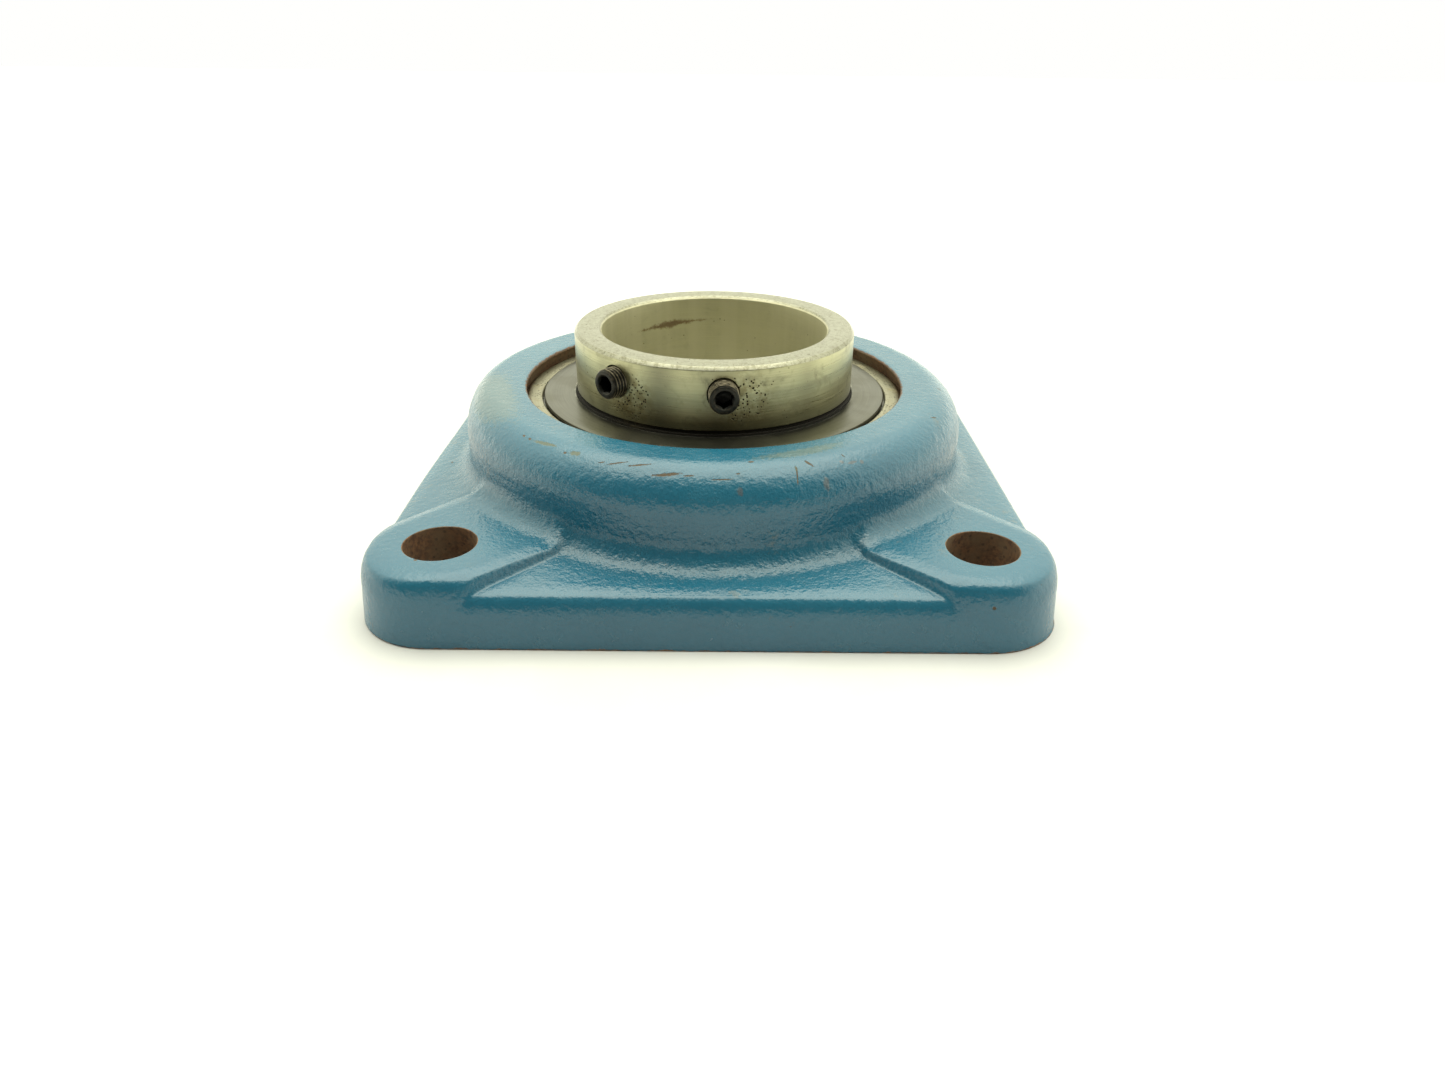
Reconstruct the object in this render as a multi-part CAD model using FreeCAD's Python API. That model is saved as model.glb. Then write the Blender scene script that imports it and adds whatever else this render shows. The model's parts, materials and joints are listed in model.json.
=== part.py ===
import FreeCAD, Part
import math
import os

# Four-bolt square flange unit with a self-aligning ball bearing insert for an 80 mm shaft.
# Millimetres. +Z is the shaft axis and points out of the boss. The origin is the centre of the
# mounting face, which lies in the plane z = 0. The front of the unit looks towards -Y.

os.makedirs("parts", exist_ok=True)
V = FreeCAD.Vector
UP = V(0, 0, 1)
ORIGIN = V(0, 0, 0)

# ---- driving dimensions: casting ----
FLANGE_SIDE = 211.0
CORNER_R = 22.5
BOLT_SPACING = 165.0
BOLT_HOLE_R = 11.0
PAD_TOP = 22.3
PAD_EDGE_R = 6.0
PAD_HALF_WIDTH_AT_CENTRE = 16.3
PAD_SPREAD = 0.093
RECESS_TOP = 17.0
RECESS_EDGE_R = 4.5
RECESS_SLOPE = 0.12
RECESS_RISE = 5.0
BOSS_R = 89.0
BOSS_TOP = 48.0
BOSS_SHOULDER_R = 12.5
FOOT_FILLET_R = 7.5
FOOT_LEVEL = 17.8
REAR_RELIEF_R = 76.0
REAR_RELIEF_DEPTH = 6.0
REAR_RELIEF_BEVEL = 1.5
SLOT_CLEARANCE = 0.5
OVERCUT = 5.0

# ---- driving dimensions: insert bearing ----
CENTRE_Z = 28.7
BORE_R = 40.0
BALL_R = 8.731
BALL_COUNT = 11
PITCH_R = 55.0
SPHERE_R = 70.0
SEAT_CLEARANCE = 0.03
RING_HALF_WIDTH = 15.0
RACE_CONFORMITY = 1.03
RACE_CLEARANCE = 0.05
INNER_LAND_R = 50.0
OUTER_LAND_R = 60.9
COLLAR_R = 49.5
COLLAR_REACH = 38.8
TAIL_REACH = 25.4
CHAMFER = 1.0
SMALL_CHAMFER = 0.4
GREASE_HOLE_ANGLES = (60, 240)
SEAL_STEP_R = 61.9
SEAL_STEP_Z = 10.6
SHOULDER_Z = 14.5
FLINGER_SEAT_R = 49.7
FLINGER_SEAT_END = 16.5
UNDERCUT_R = 48.7
COLLAR_START = 17.5
FLINGER_R = 61.4
FLINGER_SHEET = 0.8
FLINGER_RIM = 1.4
CARRIER_INNER_R = 53.5
CARRIER_SHEET = 0.8
CARRIER_UPSTAND = 2.2
LIP_R = 50.1
LIP_THICK = 0.9
LIP_HEEL = 1.8
LIP_COVER = 3.5
CAGE_SHEET = 1.2
CAGE_POCKET_GAP = 0.35
CAGE_INNER_R = 51.2
CAGE_OUTER_R = 59.2
RIVET_R = 1.15
RIVET_HEAD_R = 2.1
RIVET_HEAD_H = 0.9
GREASE_GROOVE_DEPTH = 1.6
GREASE_GROOVE_HALF_WIDTH = 2.5
GREASE_HOLE_R = 1.5
GREASE_OFFSET = 9.0

# ---- driving dimensions: set screws, M10 with a 5 mm socket ----
SCREW_R = 5.0
SCREW_CLEARANCE = 0.05
SCREW_LENGTH = 12.0
SCREW_SOCKET = 5.0
SCREW_SOCKET_DEPTH = 5.5
SCREW_BEVEL = 0.8
SCREW_CUP_R = 2.5
SCREW_Z = 58.7
SCREW_ANGLES = {"set_screw_left": -40.6, "set_screw_right": 3.7}
SCREW_FACE_R = {"set_screw_left": 54.2, "set_screw_right": 55.0}

# ---- driving dimensions: grease nipple, 1/8 inch, behind the boss ----
NIPPLE_TILT = 30.0
NIPPLE_THREAD_R = 4.85
NIPPLE_SEAT_AT = 14.5
NIPPLE_THREAD_LENGTH = 6.5
NIPPLE_HEX = 11.0
NIPPLE_HEX_H = 4.0
SPOT_FACE_R = 8.25
THREAD_RUNOUT = 1.0
NIPPLE_NECK_R = 2.3
NIPPLE_TIP_R = 3.25
NIPPLE_LENGTH = 12.0
NIPPLE_BORE_R = 1.0
CHECK_BALL_R = 1.3
CHECK_BALL_AT = 10.42
CHECK_MOUTH_R = 1.0
CHECK_SEAT_AT = 10.6
CHECK_SEAT_H = 0.7
CHECK_CHAMBER_R = 1.6
CHECK_CHAMBER_AT = 2.0
SPRING_FOOT_AT = 2.1
SPRING_GAP = 0.15
SPRING_WIRE_R = 0.25
SPRING_TURNS = 6
PASSAGE_R = 2.0


def section(steps):
    """Face in the XZ plane. A step is (r, z) for a line, or (mid_r, mid_z, r, z) for an arc."""
    edges = []
    here = steps[0]
    for step in steps[1:] + steps[:1]:
        start = V(here[-2], 0, here[-1])
        end = V(step[-2], 0, step[-1])
        if len(step) == 4:
            edges.append(Part.Arc(start, V(step[0], 0, step[1]), end).toShape())
        elif start.distanceToPoint(end) > 1e-6:
            edges.append(Part.LineSegment(start, end).toShape())
        here = step
    return Part.Face(Part.Wire(edges))


def turned(steps, height=0.0):
    """Solid of revolution about +Z, raised by height."""
    solid = section(steps).revolve(ORIGIN, UP, 360)
    if solid.Volume < 0:
        solid.reverse()
    solid.translate(V(0, 0, height))
    return solid


def circle_r(radius, height):
    """Radius of a sphere's section at a height above its centre."""
    return math.sqrt(radius * radius - height * height)


def polar(radius, degrees, height=0.0):
    """Point at an angle from the front (-Y), positive towards +X."""
    angle = math.radians(degrees)
    return V(radius * math.sin(angle), -radius * math.cos(angle), height)


def laid_along(solid, start, direction):
    """Copy of a solid drawn about +Z, moved so that its Z axis runs from start along direction."""
    moved = solid.copy()
    moved.Placement = FreeCAD.Placement(start, FreeCAD.Rotation(UP, direction))
    return moved


def flipped(solid):
    """Copy mirrored through the bearing's middle plane."""
    return solid.mirror(V(0, 0, CENTRE_Z), UP)


def save(name, shape):
    """Write one node as a STEP file."""
    shape.exportStep(f"parts/{name}.step")


# ---- casting ----
def flange_block(top, edge_r):
    """Rounded square from the mounting face to a height, with a rounded upper edge."""
    half = FLANGE_SIDE / 2
    block = Part.makeBox(FLANGE_SIDE, FLANGE_SIDE, top, V(-half, -half, 0))
    upright = [e for e in block.Edges if abs(e.tangentAt(e.FirstParameter).z) > 0.9]
    block = block.makeFillet(CORNER_R, upright)
    rim = [e for e in block.Edges if min(v.Z for v in e.Vertexes) > top - 0.01]
    return block.makeFillet(edge_r, rim)


def pad_strips():
    """Two crossed strips along the diagonals, a little wider towards the corners."""
    reach = FLANGE_SIDE
    near = PAD_HALF_WIDTH_AT_CENTRE
    far = near + PAD_SPREAD * reach
    corners = [V(0, -near, 0), V(reach, -far, 0), V(reach, far, 0), V(0, near, 0), V(0, -near, 0)]
    strip = Part.Face(Part.makePolygon(corners)).extrude(V(0, 0, PAD_TOP))
    strips = []
    for degrees in (45, 135, 225, 315):
        arm = strip.copy()
        arm.rotate(ORIGIN, UP, degrees)
        strips.append(arm)
    return strips[0].multiFuse(strips[1:])


def recess_roof():
    """Low hipped roof that gives the four recesses their slope up to the boss."""
    wide = FLANGE_SIDE / 2 - RECESS_EDGE_R
    narrow = wide - RECESS_RISE / RECESS_SLOPE
    wires = []
    for half, height in ((wide, RECESS_TOP), (narrow, RECESS_TOP + RECESS_RISE)):
        ring = [V(-half, -half, height), V(half, -half, height), V(half, half, height),
                V(-half, half, height), V(-half, -half, height)]
        wires.append(Part.makePolygon(ring))
    return Part.makeLoft(wires, True, True).common(flange_block(PAD_TOP, PAD_EDGE_R))


def boss():
    """Round boss with a large shoulder radius and a hollow fillet at its foot."""
    shoulder_r = BOSS_R - BOSS_SHOULDER_R
    shoulder_z = BOSS_TOP - BOSS_SHOULDER_R
    diagonal = math.sqrt(0.5)
    foot_r = BOSS_R + FOOT_FILLET_R
    foot_z = FOOT_LEVEL + FOOT_FILLET_R
    buried = RECESS_TOP - OVERCUT
    return turned([
        (0, buried),
        (foot_r, buried),
        (foot_r, FOOT_LEVEL),
        (foot_r - FOOT_FILLET_R * diagonal, foot_z - FOOT_FILLET_R * diagonal, BOSS_R, foot_z),
        (BOSS_R, shoulder_z),
        (shoulder_r + BOSS_SHOULDER_R * diagonal, shoulder_z + BOSS_SHOULDER_R * diagonal,
         shoulder_r, BOSS_TOP),
        (0, BOSS_TOP),
    ])


def seat_cut():
    """Spherical seat, open at both ends, with the relief behind it and its grease groove."""
    seat_r = SPHERE_R + SEAT_CLEARANCE
    above = BOSS_TOP - CENTRE_Z
    mouth_r = circle_r(seat_r, above)
    seat = turned([
        (0, -OVERCUT),
        (REAR_RELIEF_R, -OVERCUT),
        (REAR_RELIEF_R, REAR_RELIEF_DEPTH - REAR_RELIEF_BEVEL),
        (REAR_RELIEF_R - REAR_RELIEF_BEVEL, REAR_RELIEF_DEPTH),
        (mouth_r, REAR_RELIEF_DEPTH),
        (mouth_r, CENTRE_Z - above),
        (seat_r, CENTRE_Z, mouth_r, BOSS_TOP),
        (mouth_r, BOSS_TOP + OVERCUT),
        (0, BOSS_TOP + OVERCUT),
    ])
    groove_r = circle_r(seat_r, GREASE_OFFSET) + GREASE_GROOVE_DEPTH
    groove_low = GREASE_OFFSET - GREASE_GROOVE_HALF_WIDTH
    groove_high = GREASE_OFFSET + GREASE_GROOVE_HALF_WIDTH
    groove = turned([
        (mouth_r - OVERCUT, groove_low),
        (groove_r, groove_low),
        (groove_r, groove_high),
        (mouth_r - OVERCUT, groove_high),
    ], CENTRE_Z)
    return seat.fuse(groove)


def loading_slots():
    """Slots behind the seat through which the insert is passed edge on and then turned."""
    slot_r = SPHERE_R + SLOT_CLEARANCE
    slot_half = RING_HALF_WIDTH + SLOT_CLEARANCE
    drum = Part.makeCylinder(slot_r, CENTRE_Z, ORIGIN, UP)
    bar = Part.makeBox(2 * FLANGE_SIDE, 2 * slot_half, CENTRE_Z, V(-FLANGE_SIDE, -slot_half, 0))
    return drum.common(bar)


def nipple_line():
    """Start, at the seat's grease groove, and direction of the grease nipple's axis."""
    tilt = math.radians(NIPPLE_TILT)
    start = V(0, circle_r(SPHERE_R, GREASE_OFFSET), CENTRE_Z + GREASE_OFFSET)
    return start, V(0, math.cos(tilt), math.sin(tilt))


def nipple_cut():
    """Spot face, threaded hole and passage for the grease nipple."""
    start, direction = nipple_line()
    thread_depth = NIPPLE_THREAD_LENGTH + THREAD_RUNOUT
    spot = Part.makeCylinder(SPOT_FACE_R, BOSS_R, ORIGIN, UP)
    thread = Part.makeCylinder(NIPPLE_THREAD_R, thread_depth, ORIGIN, UP)
    passage = Part.makeCylinder(PASSAGE_R, NIPPLE_SEAT_AT, ORIGIN, UP)
    return [
        laid_along(spot, start + direction * NIPPLE_SEAT_AT, direction),
        laid_along(thread, start + direction * (NIPPLE_SEAT_AT - thread_depth), direction),
        laid_along(passage, start, direction),
    ]


def make_housing():
    """Cast housing: flange, pads, boss, seat and holes."""
    pads = flange_block(PAD_TOP, PAD_EDGE_R).common(pad_strips())
    casting = flange_block(RECESS_TOP, RECESS_EDGE_R).multiFuse([recess_roof(), pads, boss()])
    bolt_holes = []
    half = BOLT_SPACING / 2
    for x in (-half, half):
        for y in (-half, half):
            bolt_holes.append(Part.makeCylinder(BOLT_HOLE_R, 3 * PAD_TOP, V(x, y, -PAD_TOP), UP))
    cuts = [seat_cut(), loading_slots()] + nipple_cut() + bolt_holes
    for tool in cuts:
        casting = casting.cut(tool)
    return casting.removeSplitter()


# ---- insert bearing: rings ----
def groove_half_width(groove_centre_r, land_r):
    """Half width of a ball groove where it meets the land."""
    return circle_r(BALL_R * RACE_CONFORMITY, abs(groove_centre_r - land_r))


def make_outer_ring():
    """Outer ring: spherical outside, ball groove inside, stepped ends for the seals."""
    groove_r = BALL_R * RACE_CONFORMITY
    bottom_r = PITCH_R + BALL_R + RACE_CLEARANCE
    race = groove_half_width(bottom_r - groove_r, OUTER_LAND_R)
    edge_z = RING_HALF_WIDTH - CHAMFER
    edge_r = circle_r(SPHERE_R, edge_z)
    upper = [
        (OUTER_LAND_R, race),
        (OUTER_LAND_R, SEAL_STEP_Z),
        (SEAL_STEP_R, SEAL_STEP_Z),
        (SEAL_STEP_R, RING_HALF_WIDTH - SMALL_CHAMFER),
        (SEAL_STEP_R + SMALL_CHAMFER, RING_HALF_WIDTH),
        (edge_r - 1.5 * CHAMFER, RING_HALF_WIDTH),
        (edge_r, edge_z),
    ]
    lower = [(r, -z) for r, z in reversed(upper)]
    around = upper + [(SPHERE_R, 0) + lower[0]] + lower[1:]
    ring = turned([(bottom_r, 0) + around[0]] + around[1:], CENTRE_Z)
    for degrees in GREASE_HOLE_ANGLES:
        start = polar(OUTER_LAND_R - GREASE_HOLE_R, degrees, CENTRE_Z + GREASE_OFFSET)
        drill = Part.makeCylinder(GREASE_HOLE_R, SPHERE_R, start, polar(1, degrees))
        ring = ring.cut(drill)
    return ring


def make_inner_ring():
    """Inner ring: bore, ball groove, flinger seats, long collar with two threaded holes."""
    groove_r = BALL_R * RACE_CONFORMITY
    bottom_r = PITCH_R - BALL_R - RACE_CLEARANCE
    race = groove_half_width(bottom_r + groove_r, INNER_LAND_R)
    inner_side = [
        (COLLAR_R, COLLAR_START + SMALL_CHAMFER),
        (COLLAR_R - SMALL_CHAMFER, COLLAR_START),
        (UNDERCUT_R, COLLAR_START),
        (UNDERCUT_R, FLINGER_SEAT_END),
        (FLINGER_SEAT_R, FLINGER_SEAT_END),
        (FLINGER_SEAT_R, SHOULDER_Z),
        (INNER_LAND_R, SHOULDER_Z),
        (INNER_LAND_R, race),
    ]
    far_side = [(r, -z) for r, z in reversed(inner_side)]
    steps = [
        (BORE_R, COLLAR_REACH - CHAMFER),
        (BORE_R + CHAMFER, COLLAR_REACH),
        (COLLAR_R - CHAMFER, COLLAR_REACH),
        (COLLAR_R, COLLAR_REACH - CHAMFER),
    ] + inner_side + [(bottom_r, 0) + far_side[0]] + far_side[1:] + [
        (COLLAR_R, -TAIL_REACH + CHAMFER),
        (COLLAR_R - CHAMFER, -TAIL_REACH),
        (BORE_R + CHAMFER, -TAIL_REACH),
        (BORE_R, -TAIL_REACH + CHAMFER),
    ]
    ring = turned(steps, CENTRE_Z)
    for degrees in SCREW_ANGLES.values():
        start = polar(BORE_R - SCREW_R, degrees, SCREW_Z)
        drill = Part.makeCylinder(SCREW_R, COLLAR_R - BORE_R + 2 * SCREW_R, start, polar(1, degrees))
        ring = ring.cut(drill)
    return ring


# ---- insert bearing: balls and cage ----
def ball_centre(index):
    return polar(PITCH_R, index * 360 / BALL_COUNT, CENTRE_Z)


def rivet_centre(index):
    return polar(PITCH_R, (index + 0.5) * 360 / BALL_COUNT, CENTRE_Z)


def cage_half():
    """Pressed half cage: a flat band that rises over each ball in a round pocket."""
    cup_r = BALL_R + CAGE_POCKET_GAP
    middle = CENTRE_Z
    height = 2 * cup_r
    band = Part.makeCylinder(CAGE_OUTER_R, height, V(0, 0, middle), UP).cut(
        Part.makeCylinder(CAGE_INNER_R, height, V(0, 0, middle), UP))
    flat = band.common(Part.makeCylinder(CAGE_OUTER_R, CAGE_SHEET, V(0, 0, middle), UP))
    cups = [Part.makeSphere(cup_r + CAGE_SHEET, ball_centre(i)) for i in range(BALL_COUNT)]
    half = flat.multiFuse([cup.common(band) for cup in cups])
    hollows = [Part.makeSphere(cup_r, ball_centre(i)) for i in range(BALL_COUNT)]
    holes = [Part.makeCylinder(RIVET_R, height, rivet_centre(i), UP) for i in range(BALL_COUNT)]
    return half.cut(Part.makeCompound(hollows)).cut(Part.makeCompound(holes))


def make_rivets():
    """Eleven rivets with a low domed head on each side, as one group."""
    dome_r = (RIVET_HEAD_R ** 2 + RIVET_HEAD_H ** 2) / (2 * RIVET_HEAD_H)
    half_turn = math.asin(RIVET_HEAD_R / dome_r) / 2
    top = CAGE_SHEET + RIVET_HEAD_H
    mid_r = dome_r * math.sin(half_turn)
    mid_z = top - dome_r * (1 - math.cos(half_turn))
    rivet = turned([
        (0, -top),
        (mid_r, -mid_z, RIVET_HEAD_R, -CAGE_SHEET),
        (RIVET_R, -CAGE_SHEET),
        (RIVET_R, CAGE_SHEET),
        (RIVET_HEAD_R, CAGE_SHEET),
        (mid_r, mid_z, 0, top),
    ])
    return Part.makeCompound([laid_along(rivet, rivet_centre(i), UP) for i in range(BALL_COUNT)])


# ---- insert bearing: seals and flingers ----
def make_seal_carrier():
    """Pressed steel ring with an upstand that grips the outer ring's step."""
    base = SEAL_STEP_Z
    return turned([
        (CARRIER_INNER_R, base),
        (SEAL_STEP_R, base),
        (SEAL_STEP_R, base + CARRIER_UPSTAND),
        (SEAL_STEP_R - CARRIER_SHEET, base + CARRIER_UPSTAND),
        (SEAL_STEP_R - CARRIER_SHEET, base + CARRIER_SHEET),
        (CARRIER_INNER_R, base + CARRIER_SHEET),
    ], CENTRE_Z)


def make_seal_lip():
    """Rubber lip bonded over the carrier's inner edge, just clear of the inner ring's land."""
    base = SEAL_STEP_Z
    cover = base + CARRIER_SHEET
    return turned([
        (LIP_R, cover),
        (LIP_R + LIP_HEEL, base),
        (CARRIER_INNER_R, base),
        (CARRIER_INNER_R, cover),
        (CARRIER_INNER_R + LIP_COVER, cover),
        (CARRIER_INNER_R + LIP_COVER, cover + LIP_THICK),
        (LIP_R + LIP_HEEL, cover + LIP_THICK),
        (LIP_R, cover + LIP_THICK / 2),
    ], CENTRE_Z)


def make_flinger():
    """Pressed disc with a hub on the inner ring and a turned-down rim."""
    under = RING_HALF_WIDTH
    top = under + FLINGER_SHEET
    hub_r = FLINGER_SEAT_R + FLINGER_SHEET
    rim_r = FLINGER_R - FLINGER_SHEET
    return turned([
        (FLINGER_SEAT_R, SHOULDER_Z),
        (hub_r, SHOULDER_Z),
        (hub_r, under),
        (rim_r, under),
        (rim_r, under - FLINGER_RIM),
        (FLINGER_R, under - FLINGER_RIM),
        (FLINGER_R, top - SMALL_CHAMFER),
        (FLINGER_R - SMALL_CHAMFER, top),
        (hub_r, top),
        (hub_r, FLINGER_SEAT_END),
        (FLINGER_SEAT_R, FLINGER_SEAT_END),
    ], CENTRE_Z)


# ---- set screws ----
def hexagon(across_flats, height):
    """Hexagonal prism standing on the XY plane."""
    corner_r = across_flats / math.sqrt(3)
    turns = [math.radians(60 * k) for k in range(7)]
    corners = [V(corner_r * math.cos(turn), corner_r * math.sin(turn), 0) for turn in turns]
    return Part.Face(Part.makePolygon(corners)).extrude(V(0, 0, height))


def make_set_screw(name):
    """Socket set screw with a cup point; its face is SCREW_FACE_R from the shaft axis."""
    radius = SCREW_R - SCREW_CLEARANCE
    rim_r = SCREW_CUP_R + SCREW_BEVEL
    body = turned([
        (0, SCREW_BEVEL),
        (SCREW_CUP_R, 0),
        (rim_r, 0),
        (radius, radius - rim_r),
        (radius, SCREW_LENGTH - SCREW_BEVEL),
        (radius - SCREW_BEVEL, SCREW_LENGTH),
        (0, SCREW_LENGTH),
    ])
    socket = hexagon(SCREW_SOCKET, SCREW_SOCKET_DEPTH)
    socket.translate(V(0, 0, SCREW_LENGTH - SCREW_SOCKET_DEPTH))
    degrees = SCREW_ANGLES[name]
    start = polar(SCREW_FACE_R[name] - SCREW_LENGTH, degrees, SCREW_Z)
    return laid_along(body.cut(socket), start, polar(1, degrees))


# ---- grease nipple ----
def nipple_base():
    """Point of the nipple's seat face, and its direction."""
    start, direction = nipple_line()
    return start + direction * NIPPLE_SEAT_AT, direction


def make_grease_nipple():
    """Straight nipple: thread, hexagon, neck and rounded tip, hollow all the way."""
    tip = NIPPLE_LENGTH
    head_foot = tip - 2 * CHECK_BALL_R
    rounding = CHECK_BALL_R * 0.7
    outside = turned([
        (0, -NIPPLE_THREAD_LENGTH),
        (NIPPLE_THREAD_R - SCREW_BEVEL, -NIPPLE_THREAD_LENGTH),
        (NIPPLE_THREAD_R, -NIPPLE_THREAD_LENGTH + SCREW_BEVEL),
        (NIPPLE_THREAD_R, NIPPLE_HEX_H),
        (NIPPLE_TIP_R, NIPPLE_HEX_H + rounding),
        (NIPPLE_NECK_R, head_foot - 2 * rounding),
        (NIPPLE_NECK_R, head_foot - rounding),
        (NIPPLE_TIP_R, head_foot),
        (NIPPLE_TIP_R, tip - rounding),
        (NIPPLE_TIP_R - rounding, tip),
        (0, tip),
    ])
    corner_r = NIPPLE_HEX / math.sqrt(3)
    crown = Part.makeCone(corner_r, NIPPLE_HEX / 2, NIPPLE_HEX_H)
    collar = hexagon(NIPPLE_HEX, NIPPLE_HEX_H).common(crown)
    below = -NIPPLE_THREAD_LENGTH - THREAD_RUNOUT
    hollow = turned([
        (0, below),
        (NIPPLE_BORE_R, below),
        (NIPPLE_BORE_R, CHECK_CHAMBER_AT),
        (CHECK_CHAMBER_R, CHECK_CHAMBER_AT),
        (CHECK_CHAMBER_R, CHECK_SEAT_AT),
        (CHECK_MOUTH_R, CHECK_SEAT_AT + CHECK_SEAT_H),
        (CHECK_MOUTH_R, tip + THREAD_RUNOUT),
        (0, tip + THREAD_RUNOUT),
    ])
    base, direction = nipple_base()
    return laid_along(outside.fuse(collar).cut(hollow).removeSplitter(), base, direction)


def make_nipple_ball():
    """Check ball just under the nipple's mouth."""
    base, direction = nipple_base()
    return Part.makeSphere(CHECK_BALL_R, base + direction * CHECK_BALL_AT)


def make_nipple_spring():
    """Helical spring between the chamber floor and the check ball."""
    base, direction = nipple_base()
    mean_r = CHECK_CHAMBER_R - SPRING_WIRE_R - SPRING_GAP
    foot = SPRING_FOOT_AT + SPRING_WIRE_R
    length = CHECK_BALL_AT - CHECK_BALL_R - SPRING_WIRE_R - foot
    helix = Part.makeHelix(length / SPRING_TURNS, length, mean_r)
    wire_end = Part.Wire(Part.makeCircle(SPRING_WIRE_R, V(mean_r, 0, 0), V(0, 1, 0)))
    coil = Part.Wire(helix.Edges).makePipeShell([wire_end], True, True)
    return laid_along(coil, base + direction * foot, direction)


# ---- write the nodes ----
save("housing", make_housing())
save("outer_ring", make_outer_ring())
save("inner_ring", make_inner_ring())

for number in range(BALL_COUNT):
    save(f"ball_{number + 1:02d}", Part.makeSphere(BALL_R, ball_centre(number)))

upper_cage = cage_half()
save("cage_upper", upper_cage)
save("cage_lower", flipped(upper_cage))
save("cage_rivets", make_rivets())

for piece, solid in (("seal_carrier", make_seal_carrier()), ("seal_lip", make_seal_lip()),
                     ("flinger", make_flinger())):
    save(f"front_{piece}", solid)
    save(f"rear_{piece}", flipped(solid))

for screw in SCREW_ANGLES:
    save(screw, make_set_screw(screw))

save("grease_nipple", make_grease_nipple())
save("nipple_ball", make_nipple_ball())
save("nipple_spring", make_nipple_spring())
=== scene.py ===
import json
import math

import bmesh
import bpy
import numpy as np
from mathutils import Matrix, Vector, noise


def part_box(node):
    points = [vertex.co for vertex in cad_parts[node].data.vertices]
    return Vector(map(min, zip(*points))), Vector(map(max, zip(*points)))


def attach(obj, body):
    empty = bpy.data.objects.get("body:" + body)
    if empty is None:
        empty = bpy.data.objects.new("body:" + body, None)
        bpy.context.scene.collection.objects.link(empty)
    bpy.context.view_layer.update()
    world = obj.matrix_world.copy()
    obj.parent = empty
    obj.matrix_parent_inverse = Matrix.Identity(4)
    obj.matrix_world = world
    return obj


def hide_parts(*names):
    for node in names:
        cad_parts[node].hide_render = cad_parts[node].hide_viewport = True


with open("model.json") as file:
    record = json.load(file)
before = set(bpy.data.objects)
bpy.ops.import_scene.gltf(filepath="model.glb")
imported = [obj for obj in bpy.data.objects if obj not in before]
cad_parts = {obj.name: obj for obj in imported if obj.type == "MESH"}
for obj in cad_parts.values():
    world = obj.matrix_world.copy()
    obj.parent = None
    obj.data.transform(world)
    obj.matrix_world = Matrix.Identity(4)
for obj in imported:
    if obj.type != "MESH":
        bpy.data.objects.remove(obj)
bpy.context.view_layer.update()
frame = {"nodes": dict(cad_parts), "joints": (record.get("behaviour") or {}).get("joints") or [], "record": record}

# The object is modelled in millimetres here and scaled to metres when a mesh is made.
MM = 0.001
FLOOR_SIZE = 6.0  # metres


def mount(name):
    """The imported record's mount of that name."""
    return next(m for m in frame["record"]["mounts"] if m["name"] == name)


def joint(name):
    """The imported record's joint of that name."""
    return next(j for j in frame["joints"] if j["name"] == name)


def box_mm(node):
    """A CAD node's lowest and highest corners in millimetres."""
    low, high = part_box(node)
    return low / MM, high / MM


# ---- sizes that come from the frame ----
HOUSING_HIGH = box_mm("housing")[1]
BOSS_TOP = HOUSING_HIGH.z
CENTRE_Z = joint("insert_align")["pos_m"][2] / MM
BORE_R = mount("shaft_bore")["dims"]["r_mm"]
BOLT_X = mount("mounting_bolts")["dims"]["spacing_x_mm"] / 2
BOLT_HOLE_R = mount("mounting_bolts")["dims"]["hole_r_mm"]
RING_LOW, RING_HIGH = box_mm("inner_ring")
OUTER_HIGH = box_mm("outer_ring")[1]
SPHERE_R = OUTER_HIGH.x
FLINGER_R = box_mm("front_flinger")[1].x

# ---- sizes of the casting, a little fuller and rounder than the CAD's ----
EDGE_GROWTH = 1.5  # how much wider the flange is on each side than the CAD's
FLANGE_HALF = HOUSING_HIGH.x + EDGE_GROWTH
CORNER_R = 24.2
PAD_TOP = 22.3
PAD_FOOT = (84.0, 46.4, 1.13)  # the pad's foot line: a point on it (a, b) and its slope
PAD_STEP = 2.3  # width of the pad's steep step
RECESS_TOP = 17.0
RECESS_EDGE = 4.5
RECESS_SLOPE = 0.12
RECESS_CROWN = (1.7, 8.5)  # how far a recess falls towards the flange's edge, and over what distance
PAD_CROWN = (2.6, 9.0)  # the same for a pad
EDGE_REACH = (3.3, 3.0)  # how far in the edge rounding starts, on a recess and on a pad
EDGE_DROP = (8.0, 8.2)  # how far down it goes
DRAFT = 0.9
CASTING_SHIFT = -0.5  # the plate sits this far off the boss's axis, along X
REAR_DROP = 2.0  # how much the plate thins and narrows behind the boss
REAR_FULLNESS = 2.0  # how much tighter the boss's shoulder is at the rear
BOSS_R = 89.0
SHOULDER_REACH = 12.3
SHOULDER_DROP = 14.0
FOOT_R = 7.5
SEAT_R = SPHERE_R + 0.03
MOUTH_R = math.sqrt(SEAT_R ** 2 - (BOSS_TOP - CENTRE_Z) ** 2)
MOUTH_ROUND = 0.9
RELIEF_R = 76.0
RELIEF_DEPTH = 6.0
RELIEF_BEVEL = 1.5
LUMP_SIZES = (17.0, 4.2, 2.1)  # the sand casting's lumps, and the height of each size
LUMP_HEIGHT = 0.1
SIDE_FOOT_Z = 0.5  # where the drafted side ends, above the underside


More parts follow.
